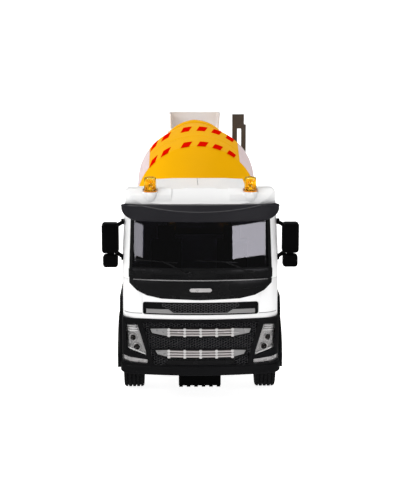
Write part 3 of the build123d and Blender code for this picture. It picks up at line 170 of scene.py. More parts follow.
def plastic(name, colour, rough, shift=0.06, grain=1400.0, bump=0.02, streak=0.05, scratch=0.0,
            **shader):
    """Moulded plastic or metal: colour drift, blotchy gloss, mould grain and fine scratches."""
    mat = bpy.data.materials.new(name)
    mat.use_nodes = True
    tree = mat.node_tree
    bsdf = tree.nodes["Principled BSDF"]
    for key, value in shader.items():
        bsdf.inputs[key.replace("_", " ")].default_value = value
    coords = tree.nodes.new("ShaderNodeTexCoord").outputs["Object"]
    drift = node(tree, "ShaderNodeTexNoise", Scale=22.0, Detail=3.0)
    blotch = node(tree, "ShaderNodeTexNoise", Scale=90.0, Detail=5.0, Roughness=0.6)
    fine = node(tree, "ShaderNodeTexNoise", Scale=grain, Detail=2.0)
    for each in (drift, blotch, fine):
        tree.links.new(coords, each.inputs["Vector"])
    dark = tuple(max(0.0, c * (1 - shift)) for c in colour)
    light = tuple(min(1.0, c * (1 + shift)) for c in colour)
    tint = ramp(tree, drift.outputs[0], [(0.3, dark), (0.7, light)])
    tree.links.new(tint, bsdf.inputs["Base Color"])
    low, high = max(0.0, rough - streak), min(1.0, rough + streak)
    gloss = ramp(tree, blotch.outputs[0], [(0.3, low), (0.75, high)])
    if scratch:
        scored = node(tree, "ShaderNodeTexNoise", Scale=420.0, Detail=2.0)
        squeeze = node(tree, "ShaderNodeMapping", Scale=(0.04, 1.0, 1.0), Rotation=(0.3, 0.2, 0.5))
        tree.links.new(coords, squeeze.inputs["Vector"])
        tree.links.new(squeeze.outputs[0], scored.inputs["Vector"])
        lines = ramp(tree, scored.outputs[0], [(0.62, 0.0), (0.66, scratch)])
        add = node(tree, "ShaderNodeMath", operation="ADD")
        tree.links.new(gloss, add.inputs[0])
        tree.links.new(lines, add.inputs[1])
        gloss = add.outputs[0]
    tree.links.new(gloss, bsdf.inputs["Roughness"])
    relief = node(tree, "ShaderNodeBump", Strength=0.35, Distance=bump * MM)
    tree.links.new(fine.outputs[0], relief.inputs["Height"])
    tree.links.new(relief.outputs[0], bsdf.inputs["Normal"])
    return mat


MATS = {
    # Painted highlight: this black is lifted to a dark grey that stands for the tiny glints on the
    # honeycomb's webs.
    "mesh_black": plastic("grille_black_painted_glints", (0.07, 0.07, 0.073), 0.25, shift=0.2,
                          Specular_IOR_Level=0.6),
    "amber_dark": plastic("amber_foot", (0.85, 0.3, 0.008), 0.2, shift=0.1),
    "lamp_eye": plastic("lamp_eye", (0.008, 0.006, 0.005), 0.15, shift=0.2, Specular_IOR_Level=0.2),
    "mark_red": plastic("printed_red", (0.74, 0.004, 0.0), 0.55, shift=0.04, grain=500, streak=0.0,
                        Specular_IOR_Level=0.0),
    # The drum's panels are white print; their pink tint is a painted reflection.
    "panel_white": plastic("printed_white_pink_reflection", (0.8, 0.66, 0.665), 0.5, shift=0.02, grain=500,
                           Specular_IOR_Level=0.1),
    "roof_paint": plastic("white_roof", (0.97, 0.97, 0.96), 0.36, shift=0.012, grain=200,
                          bump=0.002, streak=0.03, Specular_IOR_Level=0.3),
    "cab_paint": plastic("white_gloss", (0.87, 0.87, 0.865), 0.36, shift=0.012, grain=200,
                         bump=0.002, streak=0.03, Specular_IOR_Level=0.3),
    "gloss_black": plastic("black_gloss", (0.0082, 0.0082, 0.0086), 0.26, shift=0.2, scratch=0.03,
                           Specular_IOR_Level=0.2),
    "black_plastic": plastic("black_satin", (0.0062, 0.0062, 0.0068), 0.38, shift=0.25, bump=0.05,
                             scratch=0.03, Specular_IOR_Level=0.09),
    "deep_black": plastic("black_deep", (0.002, 0.002, 0.0022), 0.34, shift=0.3, bump=0.04,
                          scratch=0.03, Specular_IOR_Level=0.06),
    "visor_black": plastic("visor_satin", (0.014, 0.0135, 0.017), 0.38, shift=0.15, bump=0.04,
                           scratch=0.04, Specular_IOR_Level=0.4),
    "dark_plastic": plastic("interior_black", (0.005, 0.005, 0.008), 0.6, shift=0.25, bump=0.06,
                            Specular_IOR_Level=0.2),
    "silver": plastic("plated_silver", (0.62, 0.6, 0.595), 0.3, shift=0.06, Metallic=0.35,
                      scratch=0.06),
    "bright_silver": plastic("plated_slats", (0.66, 0.62, 0.61), 0.25, shift=0.06, Metallic=0.35,
                             scratch=0.06),
    # Painted highlight: the posts' pale, nearly non-metal colour stands in for the bright
    # reflections on their plating.
    "bright_post": plastic("plated_posts_painted_highlight", (0.6, 0.585, 0.58), 0.2, shift=0.03, Metallic=0.08),
    "vane_grey": plastic("plated_grey", (0.35, 0.345, 0.345), 0.3, shift=0.1, Metallic=0.35,
                         scratch=0.06),
    "bowl_grey": plastic("lamp_bowl", (0.42, 0.41, 0.405), 0.22, shift=0.2, Metallic=0.5,
                         scratch=0.05),
    "chrome": plastic("plated_bright", (0.88, 0.87, 0.86), 0.16, shift=0.03, Metallic=0.6),
    "grey_plastic": plastic("grey_acetal", (0.2, 0.2, 0.21), 0.45, shift=0.15, bump=0.04),
    "motor_metal": plastic("motor_can", (0.5, 0.5, 0.51), 0.3, Metallic=1.0, scratch=0.2),
    "steel": plastic("bright_bar", (0.6, 0.6, 0.61), 0.25, Metallic=1.0, scratch=0.25),
    "brass": plastic("machined_brass", (0.72, 0.53, 0.22), 0.25, Metallic=1.0, scratch=0.2),
    "white_gear": plastic("natural_acetal", (0.8, 0.79, 0.74), 0.4, shift=0.04),
    "tyre_rubber": plastic("soft_rubber", (0.006, 0.006, 0.0065), 0.6, shift=0.3, grain=2200,
                           bump=0.06, streak=0.12, Specular_IOR_Level=0.15),
    "rim_plastic": plastic("painted_rim", (0.55, 0.55, 0.56), 0.3, shift=0.08, Metallic=0.6,
                           scratch=0.1),
    "drum_plastic": plastic("yellow_satin", (0.93, 0.455, 0.001), 0.55, shift=0.03, grain=300,
                            bump=0.02, scratch=0.02, Specular_IOR_Level=0.03),
    "cream_plastic": plastic("cream_gloss", (0.96, 0.92, 0.9), 0.35, shift=0.04, bump=0.03,
                             scratch=0.06),
    "brown_plastic": plastic("brown_satin", (0.055, 0.043, 0.036), 0.4, shift=0.2, bump=0.05,
                             scratch=0.1),
    "green_board": plastic("solder_mask", (0.01, 0.12, 0.04), 0.35, shift=0.3, grain=600),
    "cell_metal": plastic("cell_sleeve", (0.05, 0.2, 0.12), 0.3, shift=0.2, Metallic=0.3),
    "red_plastic": plastic("red_gloss", (0.55, 0.01, 0.008), 0.2, shift=0.12, Coat_Weight=0.3),
}


def clear(name, colour, rough, alpha=1.0):
    """Clear moulded plastic with a very faint ripple. A low alpha lets light straight in."""
    return plastic(name, colour, rough, shift=0.04, grain=300, bump=0.0015, streak=0.008,
                   Transmission_Weight=1.0, IOR=1.49, Alpha=alpha)


MATS["clear_plastic"] = clear("clear_lens", (0.97, 0.98, 1.0), 0.01, alpha=0.2)
MATS["amber_plastic"] = clear("amber_lens", (1.0, 0.68, 0.055), 0.04)
MATS["glass"] = clear("tinted_screen", (0.1, 0.095, 0.13), 0.01)

# Width in millimetres of the small rounding on the edges of moulded pieces
EDGE_ROUNDING = {
    "windscreen_cowl": 0.2, "front_panel": 0.25, "cab_shell": 0.15, "roof_panel": 0.2,
    "bumper": 0.2, "front_fenders": 0.3, "hopper": 0.25, "ladder": 0.25, "rear_frame": 0.2,
    "chassis_frame": 0.2, "steering_box": 0.25, "battery_box": 0.3, "battery_door": 0.2,
    "side_guards": 0.25, "rear_mudguards": 0.25, "rear_bumper": 0.25, "tail_lamps": 0.2,
    "drum_pedestal": 0.3, "main_chute": 0.2, "chute_extension": 0.2, "gear_housing": 0.3,
    "cab_interior": 0.3,
}

# Nodes with a deeper black or a purer white than the rest of their slot
OWN_MATERIAL = {"mirrors": "deep_black", "steering_box": "deep_black", "roof_panel": "roof_paint"}


def round_edges(obj, width, angle, harden=False):
    """Rounds edges sharper than an angle in degrees, by a width in millimetres."""
    rounded = obj.modifiers.new("rounding", "BEVEL")
    rounded.width = width * MM
    rounded.segments = 2
    rounded.limit_method = "ANGLE"
    rounded.angle_limit = math.radians(angle)
    rounded.harden_normals = harden


for name, obj in frame["nodes"].items():
    slot = next(s["material_slot"] for s in frame["record"]["subparts"] if s["node"] == name)
    obj.data.materials.clear()
    obj.data.materials.append(MATS[OWN_MATERIAL.get(name, slot)])
    if name in EDGE_ROUNDING:
        weld = obj.modifiers.new("weld", "WELD")
        weld.merge_threshold = FRAME_WELD
        round_edges(obj, EDGE_ROUNDING[name], 25, harden=True)


# ---------- mesh building


class Shape:
    """Points and faces of one piece, in millimetres of the row frame."""

    def __init__(self):
        self.points = []
        self.faces = []

    def add(self, points, faces, place=None):
        start = len(self.points)
        placed = [place @ Vector(p) for p in points] if place else points
        self.points += [tuple(p) for p in placed]
        self.faces += [tuple(start + k for k in face) for face in faces]
        return self


def finish_piece(shape, name, material, body, replaces=(), bevel=0.0, angle=35.0,
                 solid=0.0):
    """Makes the object, welds it, rounds its edges and lets it ride on its body.

    Edges sharper than the angle in degrees stay crisp in shading. A solid is the thickness in
    millimetres given to an open sheet.
    """
    bm = bmesh.new()
    made = [bm.verts.new([c * MM for c in p]) for p in shape.points]
    for face in shape.faces:
        corners = [made[k] for k in face]
        if len(set(corners)) > 2:
            try:
                bm.faces.new(corners)
            except ValueError:  # the same face is there already
                continue
    bmesh.ops.remove_doubles(bm, verts=bm.verts, dist=PIECE_WELD)
    bmesh.ops.recalc_face_normals(bm, faces=bm.faces)
    mesh = bpy.data.meshes.new(name)
    bm.to_mesh(mesh)
    bm.free()
    mesh.shade_smooth()
    mesh.set_sharp_from_angle(angle=math.radians(angle))
    mesh.materials.append(material)
    piece = bpy.data.objects.new(name, mesh)
    bpy.context.scene.collection.objects.link(piece)
    if solid:
        thick = piece.modifiers.new("thickness", "SOLIDIFY")
        thick.thickness = solid * MM
        thick.offset = -1.0
    if bevel:
        round_edges(piece, bevel, 30)
    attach(piece, body)
    if replaces:
        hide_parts(*replaces)


def grid(rows, loop_rows=False, loop_columns=False):
    """Quads over a net of points given as rows of equal length."""
    count, wide = len(rows), len(rows[0])
    points = [p for row in rows for p in row]
    faces = []
    for i in range(count if loop_rows else count - 1):
        for j in range(wide if loop_columns else wide - 1):
            k, m = (i + 1) % count, (j + 1) % wide
            faces.append((i * wide + j, i * wide + m, k * wide + m, k * wide + j))
    return points, faces


def revolve(profile, segments):
    """A closed profile of radius and axial points, turned about local Z."""
    rows = []
    for k in range(segments):
        a = 2 * math.pi * k / segments
        rows.append([(r * math.cos(a), r * math.sin(a), z) for r, z in profile])
    return grid(rows, loop_rows=True, loop_columns=True)


def rounded_profile(points, radius, steps):
    """A closed profile with every corner replaced by a short arc-like curve."""
    out = []
    count = len(points)
    for k, corner in enumerate(points):
        here = Vector(corner)
        before = Vector(points[k - 1]) - here
        after = Vector(points[(k + 1) % count]) - here
        reach = min(radius, before.length * 0.45, after.length * 0.45)
        a, b = here + before.normalized() * reach, here + after.normalized() * reach
        for step in range(steps + 1):
            t = step / steps
            out.append(tuple((1 - t) ** 2 * a + 2 * t * (1 - t) * here + t * t * b))
    return out


def along(chain, x):
    """Height of a chain of X and Z points at x."""
    for (x0, z0), (x1, z1) in zip(chain, chain[1:]):
        if x <= x1:
            return z0 + (z1 - z0) * (x - x0) / (x1 - x0) if x1 > x0 else z1
    return chain[-1][1]


def plate(low, high, front, back, surface, pitch=1.5):
    """A curved plate between a lower and an upper chain, from one inset to another."""
    x0, x1 = max(low[0][0], high[0][0]), min(low[-1][0], high[-1][0])
    count = max(1, round((x1 - x0) / pitch))
    stops = {round(x0 + (x1 - x0) * k / count, 3) for k in range(count + 1)}
    stops |= {x for x, _ in low + high if x0 < x < x1}
    rings = []
    for x in sorted(stops):
        z0, z1 = along(low, x), along(high, x)
        rings.append([surface(x, z0, front), surface(x, z1, front),
                      surface(x, z1, back), surface(x, z0, back)])
    points, faces = grid(rings, loop_columns=True)
    last = len(points) - 4
    faces += [(0, 1, 2, 3), (last, last + 1, last + 2, last + 3)]
    return points, faces


def strip(x, z, front, back, surface, pitch=1.5):
    """A curved plate with straight edges, from a pair of X and a pair of Z."""
    low, high = [(x[0], z[0]), (x[1], z[0])], [(x[0], z[1]), (x[1], z[1])]
    return plate(low, high, front, back, surface, pitch)


def mirror_chain(chain):
    """The same chain on the other side of the truck."""
    return [(-x, z) for x, z in reversed(chain)]


def both_sides(shape, low, high, front, back, surface=on_bumper, pitch=1.5):
    """Adds a plate, and the same one on the other side of the truck."""
    shape.add(*plate(low, high, front, back, surface, pitch))
    shape.add(*plate(mirror_chain(low), mirror_chain(high), front, back, surface, pitch))


def honeycomb(inside, surface, inset, bounds, dish=0.35):
    """Wide hexagonal rings whose middles lie inside an outline, each dished towards its hole."""
    shape = Shape()
    (x0, x1), (z0, z1) = bounds
    corners = [(0.5, 0), (0.25, 0.5), (-0.25, 0.5), (-0.5, 0), (-0.25, -0.5), (0.25, -0.5)]
    hole = 1 - WEB / CELL_H
    column = 0.75 * CELL_W
    for i in range(int((x1 - x0) / column) + 1):
        x = x0 + i * column
        for j in range(int((z1 - z0) / CELL_H) + 1):
            z = z0 + (j + 0.5 * (i % 2)) * CELL_H
            if not inside(x, z):
                continue
            rings = [
                [surface(x + u * CELL_W * size, z + v * CELL_H * size, deep) for u, v in corners]
                for size, deep in ((1.0, inset), (hole, inset + dish))
            ]
            shape.add(*grid(rings, loop_columns=True))
    return shape


def turned(origin, z_dir, x_dir=(1, 0, 0)):
    """Placement of a turned shape: its axis along z_dir from origin."""
    z = Vector(z_dir).normalized()
    x = (Vector(x_dir) - z * z.dot(Vector(x_dir))).normalized()
    y = z.cross(x)
    return Matrix.Translation(origin) @ Matrix((x, y, z)).transposed().to_4x4()


def ellipse_bar(a, b, radii, steps=10, sides=12, taper=1.0, sag=(0, 0, 0)):
    """A bar of elliptical section from a to b, thinner at b by taper, bowed by sag."""
    a, b, sag = Vector(a), Vector(b), Vector(sag)
    across = turned(a, b - a).to_3x3()
    rows = []
    for i in range(steps + 1):
        t = i / steps
        middle = a.lerp(b, t) + sag * 4 * t * (1 - t)
        end = math.sqrt(max(0.0, 1 - (2 * t - 1) ** 8)) * 0.9 + 0.1
        size = (1 + (taper - 1) * t) * end
        row = []
        for k in range(sides):
            q = 2 * math.pi * k / sides
            spoke = Vector((radii[0] * size * math.cos(q), radii[1] * size * math.sin(q), 0))
            row.append(tuple(middle + across @ spoke))
        rows.append(row)
    points, faces = grid(rows, loop_columns=True)
    faces.append(tuple(range(sides))[::-1])
    faces.append(tuple(range(len(points) - sides, len(points))))
    return points, faces


# Sides of a block whose corners run through X, then Y, then Z
BOX_FACES = [(0, 1, 3, 2), (4, 6, 7, 5), (0, 4, 5, 1), (2, 3, 7, 6), (0, 2, 6, 4), (1, 5, 7, 3)]


def box(low, high):
    points = [(x, y, z)
              for x in (low[0], high[0])
              for y in (low[1], high[1])
              for z in (low[2], high[2])]
    return points, BOX_FACES


# ---------- grille and slot

# Lower and upper chain of each vane's outline, and the height of its middle
VANES = (
    ([(-31.8, 52.0), (-30.8, 49.6), (-20, 47.7), (20, 47.7), (30.8, 49.6), (31.8, 52.0)],
     [(-31.8, 52.2), (-22, 52.7), (22, 52.7), (31.8, 52.2)], 50.2),
    ([(-28.6, 38.0), (-27.4, 35.8), (-18, 33.7), (18, 33.7), (27.4, 35.8), (28.6, 38.0)],
     [(-28.6, 38.2), (-20, 38.7), (20, 38.7), (28.6, 38.2)], 36.2),
)


def in_grille(x, z):
    t = (z - GRILLE_Z[0]) / (GRILLE_Z[1] - GRILLE_Z[0])
    half = GRILLE_HALF[0] + (GRILLE_HALF[1] - GRILLE_HALF[0]) * t
    return abs(x) < half + 0.2 and GRILLE_Z[0] - 0.3 < z < GRILLE_Z[1] + 0.3


def lower_grille():
    """Honeycomb plate, a dark sheet behind it that paints the shade of the open space there, the
    vanes' surrounds and the plain bar along its foot.
    """
    bounds = ((-GRILLE_HALF[1], GRILLE_HALF[1]), GRILLE_Z)
    net = honeycomb(in_grille, on_bumper, 0.9, bounds)
    finish_piece(net, "grille_honeycomb", MATS["mesh_black"], "truck", ("grille_meshes",),
                 angle=20, solid=0.8)
    # Painted shade: a dark sheet behind the honeycomb stands for the shade inside the open bumper.
    shade_sheet = Shape()
    (low_z, high_z), (low_half, high_half) = GRILLE_Z, GRILLE_HALF
    front, back = 2.05, 2.8
    half = low_half - 0.6
    low = [(half, low_z - 0.4), (high_half + 0.3, high_z - 0.8)]
    high = [(half, high_z + 0.4), (high_half + 0.3, high_z + 0.4)]
    both_sides(shade_sheet, low, high, front, back)
    shade_sheet.add(*strip((-half, half), (low_z - 0.4, high_z + 0.4), front, back, on_bumper))
    finish_piece(shade_sheet, "grille_painted_shade_sheet", MATS["dark_plastic"], "truck")
    trim = Shape()
    foot = [(-22.5, low_z + 0.2), (22.5, low_z + 0.2)]
    hump = [(-22.5, low_z + 0.4), (-20.5, low_z + 3.4), (20.5, low_z + 3.4), (22.5, low_z + 0.4)]
    trim.add(*plate(foot, hump, 0.4, 1.5, on_bumper))
    for _, high, middle in VANES:
        reach = high[-1][0] + 1.0
        lower = [(-reach, middle + 1.0), (-reach + 1.2, middle - 1.6), (-20, middle - 3.9)]
        upper = [(-reach, middle + 3.0), (0, middle + 3.5)]
        lower += mirror_chain(lower)
        upper += mirror_chain(upper)[1:]
        trim.add(*plate(lower, upper, 0.5, 1.5, on_bumper))
    finish_piece(trim, "grille_surrounds", MATS["gloss_black"], "truck",
                 bevel=0.3)


def vane(low, high, middle):
    """A vane's grey wings, the bed between them in a dark brown that paints the shade in the slats'
    gaps, and the bed's three rows of bright slats.
    """
    wings, bed, slats = Shape(), Shape(), Shape()
    inner = 2 * POST_GAP + 0.9
    left_low = [(x, z) for x, z in low if x < -inner] + [(-inner, along(low, -inner))]
    left_high = [(x, z) for x, z in high if x < -inner] + [(-inner, along(high, -inner))]
    both_sides(wings, left_low, left_high, -0.45, 0.7)
    bed_half = 2.35
    bed.add(*strip((-inner, inner), (middle - bed_half, middle + bed_half), 0.35, 0.8, on_bumper))
    for k in (-1, 0, 1):
        z = middle + SLAT_PITCH * k
        for gap in range(-2, 2):
            ends = gap * POST_GAP + 0.75, (gap + 1) * POST_GAP - 0.75
            slats.add(*strip(ends, (z - SLAT_HALF, z + SLAT_HALF), -0.5, 0.5, on_bumper))
    return wings, bed, slats


def vane_posts(middle):
    """Five posts across a vane, each in three short lengths with chamfered ends."""
    shape = Shape()
    flat, chamfer = 0.4, 0.35
    for k in range(-2, 3):
        x = k * POST_GAP
        across = (x - POST_HALF, x - flat, x + flat, x + POST_HALF)
        for z0, z1 in ((-2.75, -0.95), (-0.8, 0.8), (0.95, 2.75)):
            rise = (chamfer, 0, 0, chamfer)
            low = [(u, middle + z0 + v) for u, v in zip(across, rise)]
            high = [(u, middle + z1 - v) for u, v in zip(across, rise)]
            shape.add(*plate(low, high, -0.85, 0.4, on_bumper, pitch=0.5))
    return shape


def upper_slot():
    """Honeycomb, floor, rim, rounded corners and blades of the slot above the grille."""
    low_z, high_z = SLOT_Z

    def inside(x, z):
        edge = 17.4 + max(0.0, z - low_z - 1.4) * 1.2
        return abs(x) < edge and low_z + 1.8 < z < high_z - 1.2

    bounds = ((-28.05, 28.05), (low_z + 2.2, high_z - 1.0))
    net = honeycomb(inside, on_cab, -0.1, bounds, dish=0.3)
    finish_piece(net, "slot_honeycomb", MATS["mesh_black"], "truck", angle=20,
                 solid=0.55)
    half, face, rim_back = SLOT_HALF - 0.3, -0.18, 0.6
    floor_plate = Shape()
    floor_plate.add(*strip((-half, half), (low_z + 0.2, high_z - 0.2), 0.5, 0.68, on_cab))
    finish_piece(floor_plate, "slot_floor", MATS["black_plastic"], "truck")
    rim = Shape()
    for z in ((low_z + 0.05, low_z + 0.7), (high_z - 0.9, high_z - 0.05)):
        rim.add(*strip((-half, half), z, face, rim_back, on_cab))
    for x in (-half, half - 0.8):
        rim.add(*strip((x, x + 0.8), (low_z + 0.05, high_z - 0.05), face, rim_back, on_cab))
    finish_piece(rim, "slot_rim", MATS["gloss_black"], "truck", bevel=0.18)
    corners = Shape()
    quarter = [math.radians(15 * k) for k in range(7)]
    for edge, turn in ((low_z, 1), (high_z, -1)):
        curve = [(-SLOT_HALF + SLOT_ROUND * (1 - math.cos(a)) - 0.05,
                  edge + turn * (SLOT_ROUND * (1 - math.sin(a)))) for a in quarter]
        straight = [(x, edge - turn * 0.05) for x, _ in curve]
        low, high = (straight, curve) if turn > 0 else (curve, straight)
        both_sides(corners, low, high, -0.22, 0.5, on_cab, pitch=0.2)
    finish_piece(corners, "slot_corners", MATS["cab_paint"], "truck")
    blades = Shape()
    low = [(-34.4, low_z + 0.9), (-17.3, low_z + 0.9)]
    high = [(-34.4, low_z + 3.6), (-20.3, low_z + 3.6), (-17.3, low_z + 1.5)]
    both_sides(blades, low, high, -0.35, 0.5, on_cab)
    blades.add(*strip((-17.4, 17.4), (low_z + 0.9, low_z + 1.35), -0.3, 0.5, on_cab))
    finish_piece(blades, "slot_blades", MATS["vane_grey"], "truck", bevel=0.14)


def grille_parts():
    lower_grille()
    wings, beds, slats, posts = Shape(), Shape(), Shape(), Shape()
    for low, high, middle in VANES:
        parts = (*vane(low, high, middle), vane_posts(middle))
        for whole, part in zip((wings, beds, slats, posts), parts):
            whole.add(part.points, part.faces)
    finish_piece(wings, "grille_vanes", MATS["vane_grey"], "truck", ("grille_brightwork",),
                 bevel=0.16)
    # Painted shade: the beds take a dark brown for the shade that falls between the slats.
    finish_piece(beds, "grille_beds_painted_shade", MATS["brown_plastic"], "truck", bevel=0.1)
    finish_piece(slats, "grille_slats", MATS["bright_silver"], "truck", bevel=0.2)
    # The posts' pale colour is a painted highlight of their plating.
    finish_piece(posts, "grille_posts", MATS["bright_post"], "truck", bevel=0.2)
    upper_slot()
    badge = Shape()
    low = [(-7, 77.4), (-6, 76.6), (6, 76.6), (7, 77.4)]
    high = [(-7, 78.2), (-6, 79.0), (6, 79.0), (7, 78.2)]
    badge.add(*plate(low, high, -1.36, -0.7, on_cab, pitch=0.5))
    finish_piece(badge, "front_badge", MATS["silver"], "truck", bevel=0.2)


# ---------- lamps

# Outlines on one side of the truck, and X, Z and radius of the two eyes in its headlamp
HEADLAMP_LOW = [(34.0, 33.9), (46.8, 38.2), (47.9, 54.2)]
HEADLAMP_HIGH = [(34.0, 34.1), (40.2, 54.6), (47.9, 54.3)]
EYES = ((42.9, 45.4, 2.45), (40.4, 39.4, 2.55))
CORNER_LOW = [(33.5, 29.2), (42.5, 29.6), (49.0, 30.3)]
CORNER_HIGH = [(33.8, 31.7), (45.0, 32.8), (49.0, 33.6)]


def headlamps():
    """Grey bowl, bright ribs and two dark projector units behind each clear cover."""
    bowls, ribs, rings, eyes, frames = Shape(), Shape(), Shape(), Shape(), Shape()
    both_sides(bowls, HEADLAMP_LOW, HEADLAMP_HIGH, 2.6, 3.3)
    for k in range(3):
        z, x = 53.6 - 1.5 * k, 40.6 - 0.42 * k
        both_sides(ribs, [(x, z - 0.7), (46.9, z - 0.9)], [(x, z), (46.9, z - 0.2)], 1.6, 2.7)
    for k in range(4):
        x = 45.9 - 0.55 * k
        low = [(x - 0.28, 40.6 + 0.5 * k), (x, 40.6 + 0.5 * k)]
        high = [(x - 0.28, 48.6 - k), (x, 48.6 - k)]
        both_sides(ribs, low, high, 1.7 + 0.2 * k, 2.7)
    both_sides(ribs, [(34.6, 34.4), (46.4, 38.5)], [(34.9, 35.6), (46.4, 39.6)], 1.6, 2.7)
    both_sides(frames, [(39.9, 52.2), (41.0, 51.9)], [(40.9, 54.4), (41.0, 54.4)], 1.5, 2.7)
    both_sides(frames, [(46.9, 39.2), (47.8, 39.5)], [(46.9, 50.6), (47.8, 50.2)], 1.45, 2.7)
    for side in (1, -1):
        for x, z, r in EYES:
            x *= side
            place = turned(on_bumper(x, z, 3.2), (x * 0.006, -1, 0))
            tube = [(r, 0), (r, 1.45), (r - 0.2, 1.6), (r - 0.4, 0.75), (r - 0.4, 0.0)]
            rings.add(*revolve(tube, 28), place)
            dome = [(0.02, 0.0), (r - 0.42, 0.0), (r - 0.45, 0.45), (r * 0.6, 0.95),
                    (r * 0.3, 1.15), (0.02, 1.2)]
            eyes.add(*revolve(dome, 28), place)
    finish_piece(bowls, "headlamp_bowls", MATS["bowl_grey"], "truck", ("headlamp_reflectors",),
                 bevel=0.2)
    finish_piece(ribs, "headlamp_ribs", MATS["chrome"], "truck", bevel=0.12)
    finish_piece(frames, "headlamp_frames", MATS["gloss_black"], "truck",
                 bevel=0.12)
    finish_piece(rings, "headlamp_rings", MATS["silver"], "truck")
    finish_piece(eyes, "headlamp_eyes", MATS["lamp_eye"], "truck")
    corners = Shape()
    both_sides(corners, CORNER_LOW, CORNER_HIGH, 1.8, 2.5)
    for k in range(10):
        x = 34.3 + 1.42 * k
        foot, head = along(CORNER_LOW, x) + 0.15, along(CORNER_HIGH, x) - 0.15
        low, high = [(x, foot), (x + 0.55, foot)], [(x, head), (x + 0.55, head)]
        both_sides(corners, low, high, 1.5, 1.95)
    finish_piece(corners, "corner_lamp_ribs", MATS["silver"], "truck", bevel=0.1)


def beacons():
    """Amber domes with ribs inside, a foot ring, and a bright lamp post in the middle."""
    domes, feet, posts = Shape(), Shape(), Shape()
    for x in (-BEACON_X, BEACON_X):
        place = Matrix.Translation((x, y_at(BEACON_STATION), BEACON_Z))
        outside = [(4.05, 0.0), (4.05, 0.9), (3.9, 1.2), (3.75, 5.0), (3.55, 8.5), (3.2, 9.1),
                   (2.2, 9.3), (0.05, 9.35)]
        inside = [(0.05, 8.7), (2.2, 8.6), (2.85, 8.2), (3.05, 5.0), (3.2, 1.3), (3.2, 0.0)]
        domes.add(*revolve(outside + inside, 48), place)
        for k in range(BEACON_RIBS):
            turn = place @ Matrix.Rotation(2 * math.pi * k / BEACON_RIBS, 4, "Z")
            domes.add(*box((2.9, -0.15, 1.4), (3.3, 0.15, 8.2)), turn)
        ring = [(4.15, -0.02), (4.15, 0.45), (4.05, 0.55), (3.0, 0.55), (3.0, -0.02)]
        feet.add(*revolve(ring, 48), place)
        lamp = [(0.05, 0.3), (2.2, 0.3), (2.2, 0.9), (1.2, 1.3), (1.2, 4.4), (0.8, 5.2),
                (0.05, 5.4)]
        posts.add(*revolve(lamp, 24), place)
    finish_piece(domes, "beacon_domes", MATS["amber_plastic"], "truck", ("beacon_lenses",))
    finish_piece(feet, "beacon_feet", MATS["amber_dark"], "truck")
    finish_piece(posts, "beacon_lamps", MATS["chrome"], "truck")


# ---------- cab front

# The visor: its bowed front, the station it runs back to, its lower edge on one side, and the
# crease's half length with its height in the middle
VISOR_FORM = (0.0, 9.2, 50.1, 11.0)
VISOR_END = 18.5
VISOR_LOW = [(0, 121.0), (39.5, 121.0), (44.6, 122.1), (48.4, 124.0), (50.0, 126.2), (50.2, 126.4)]
VISOR_TOP_Z = 131.6
CREASE_X, CREASE_Z = 39.0, 127.2


def plan_path(form, end, steps=22):
    """Half a bowed front in plan, from its middle to a station on its side.

    Each row is X, station, and the outward normal's two parts.
    """
    nose, sag, half, corner = form
    big = (half**2 + sag**2) / (2 * sag)
    middle = half - corner
    turn = math.asin(middle / (big - corner))
    centre = nose + big - math.sqrt((big - corner) ** 2 - middle**2)
    path = []
    for k in range(steps + 1):
        a = turn * k / steps
        nx, ns = math.sin(a), -math.cos(a)
        path.append((big * nx, nose + big + big * ns, nx, ns))
    for k in range(1, 9):
        a = turn + (math.pi / 2 - turn) * k / 8
        nx, ns = math.sin(a), -math.cos(a)
        path.append((middle + corner * nx, centre + corner * ns, nx, ns))
    path.append((half, end, 1.0, 0.0))
    return path


def sun_visor():
    """The visor over the screen, with a smile-shaped facet that meets its face along a crease.

    Its section is rows of inset and height, which change from its middle to its tips.
    """
    half = plan_path(VISOR_FORM, VISOR_END)
    path = [(-x, s, -nx, ns) for x, s, nx, ns in reversed(half[1:])] + half
    rings = []
    for x, station, nx, ns in path:
        out = min(1.0, abs(x) / CREASE_X)
        low = along(VISOR_LOW, abs(x))
        crease = CREASE_Z + (VISOR_TOP_Z - 0.5 - CREASE_Z) * out**2
        lean = 0.35 + 2.2 * (1 - out**2)
        deep = 0.5 + 5.6 * (1 - min(1.0, abs(x) / VISOR_FORM[2])) ** 0.6
        top = VISOR_TOP_Z - 1.3 * max(0.0, min(1.0, (abs(x) - 47.4) / 2.7)) ** 1.5
        crease = min(crease, top - 0.9)
        lip = [(deep, low + 0.1), (0.7, low), (0.15, low + 0.5), (0.0, low + 1.0)]
        ridge = [(0.1, crease - 0.9), (-0.25, crease - 0.25), (0.0, crease + 0.15),
                 (0.45, crease + 0.4)]
        head = [(lean, top - 0.3), (lean + 0.3, top), (deep + 1.9 * (1 - out**2) + 0.1, top)]
        rings.append([(x - nx * inset, y_at(station - ns * inset), z)
                      for inset, z in lip + ridge + head])
    points, faces = grid(rings, loop_columns=True)
    wide = len(rings[0])
    faces += [tuple(range(wide)), tuple(range(len(points) - wide, len(points)))]
    visor = Shape().add(points, faces)
    finish_piece(visor, "sun_visor_shell", MATS["visor_black"], "truck", ("sun_visor",),
                 bevel=0.22, angle=14)


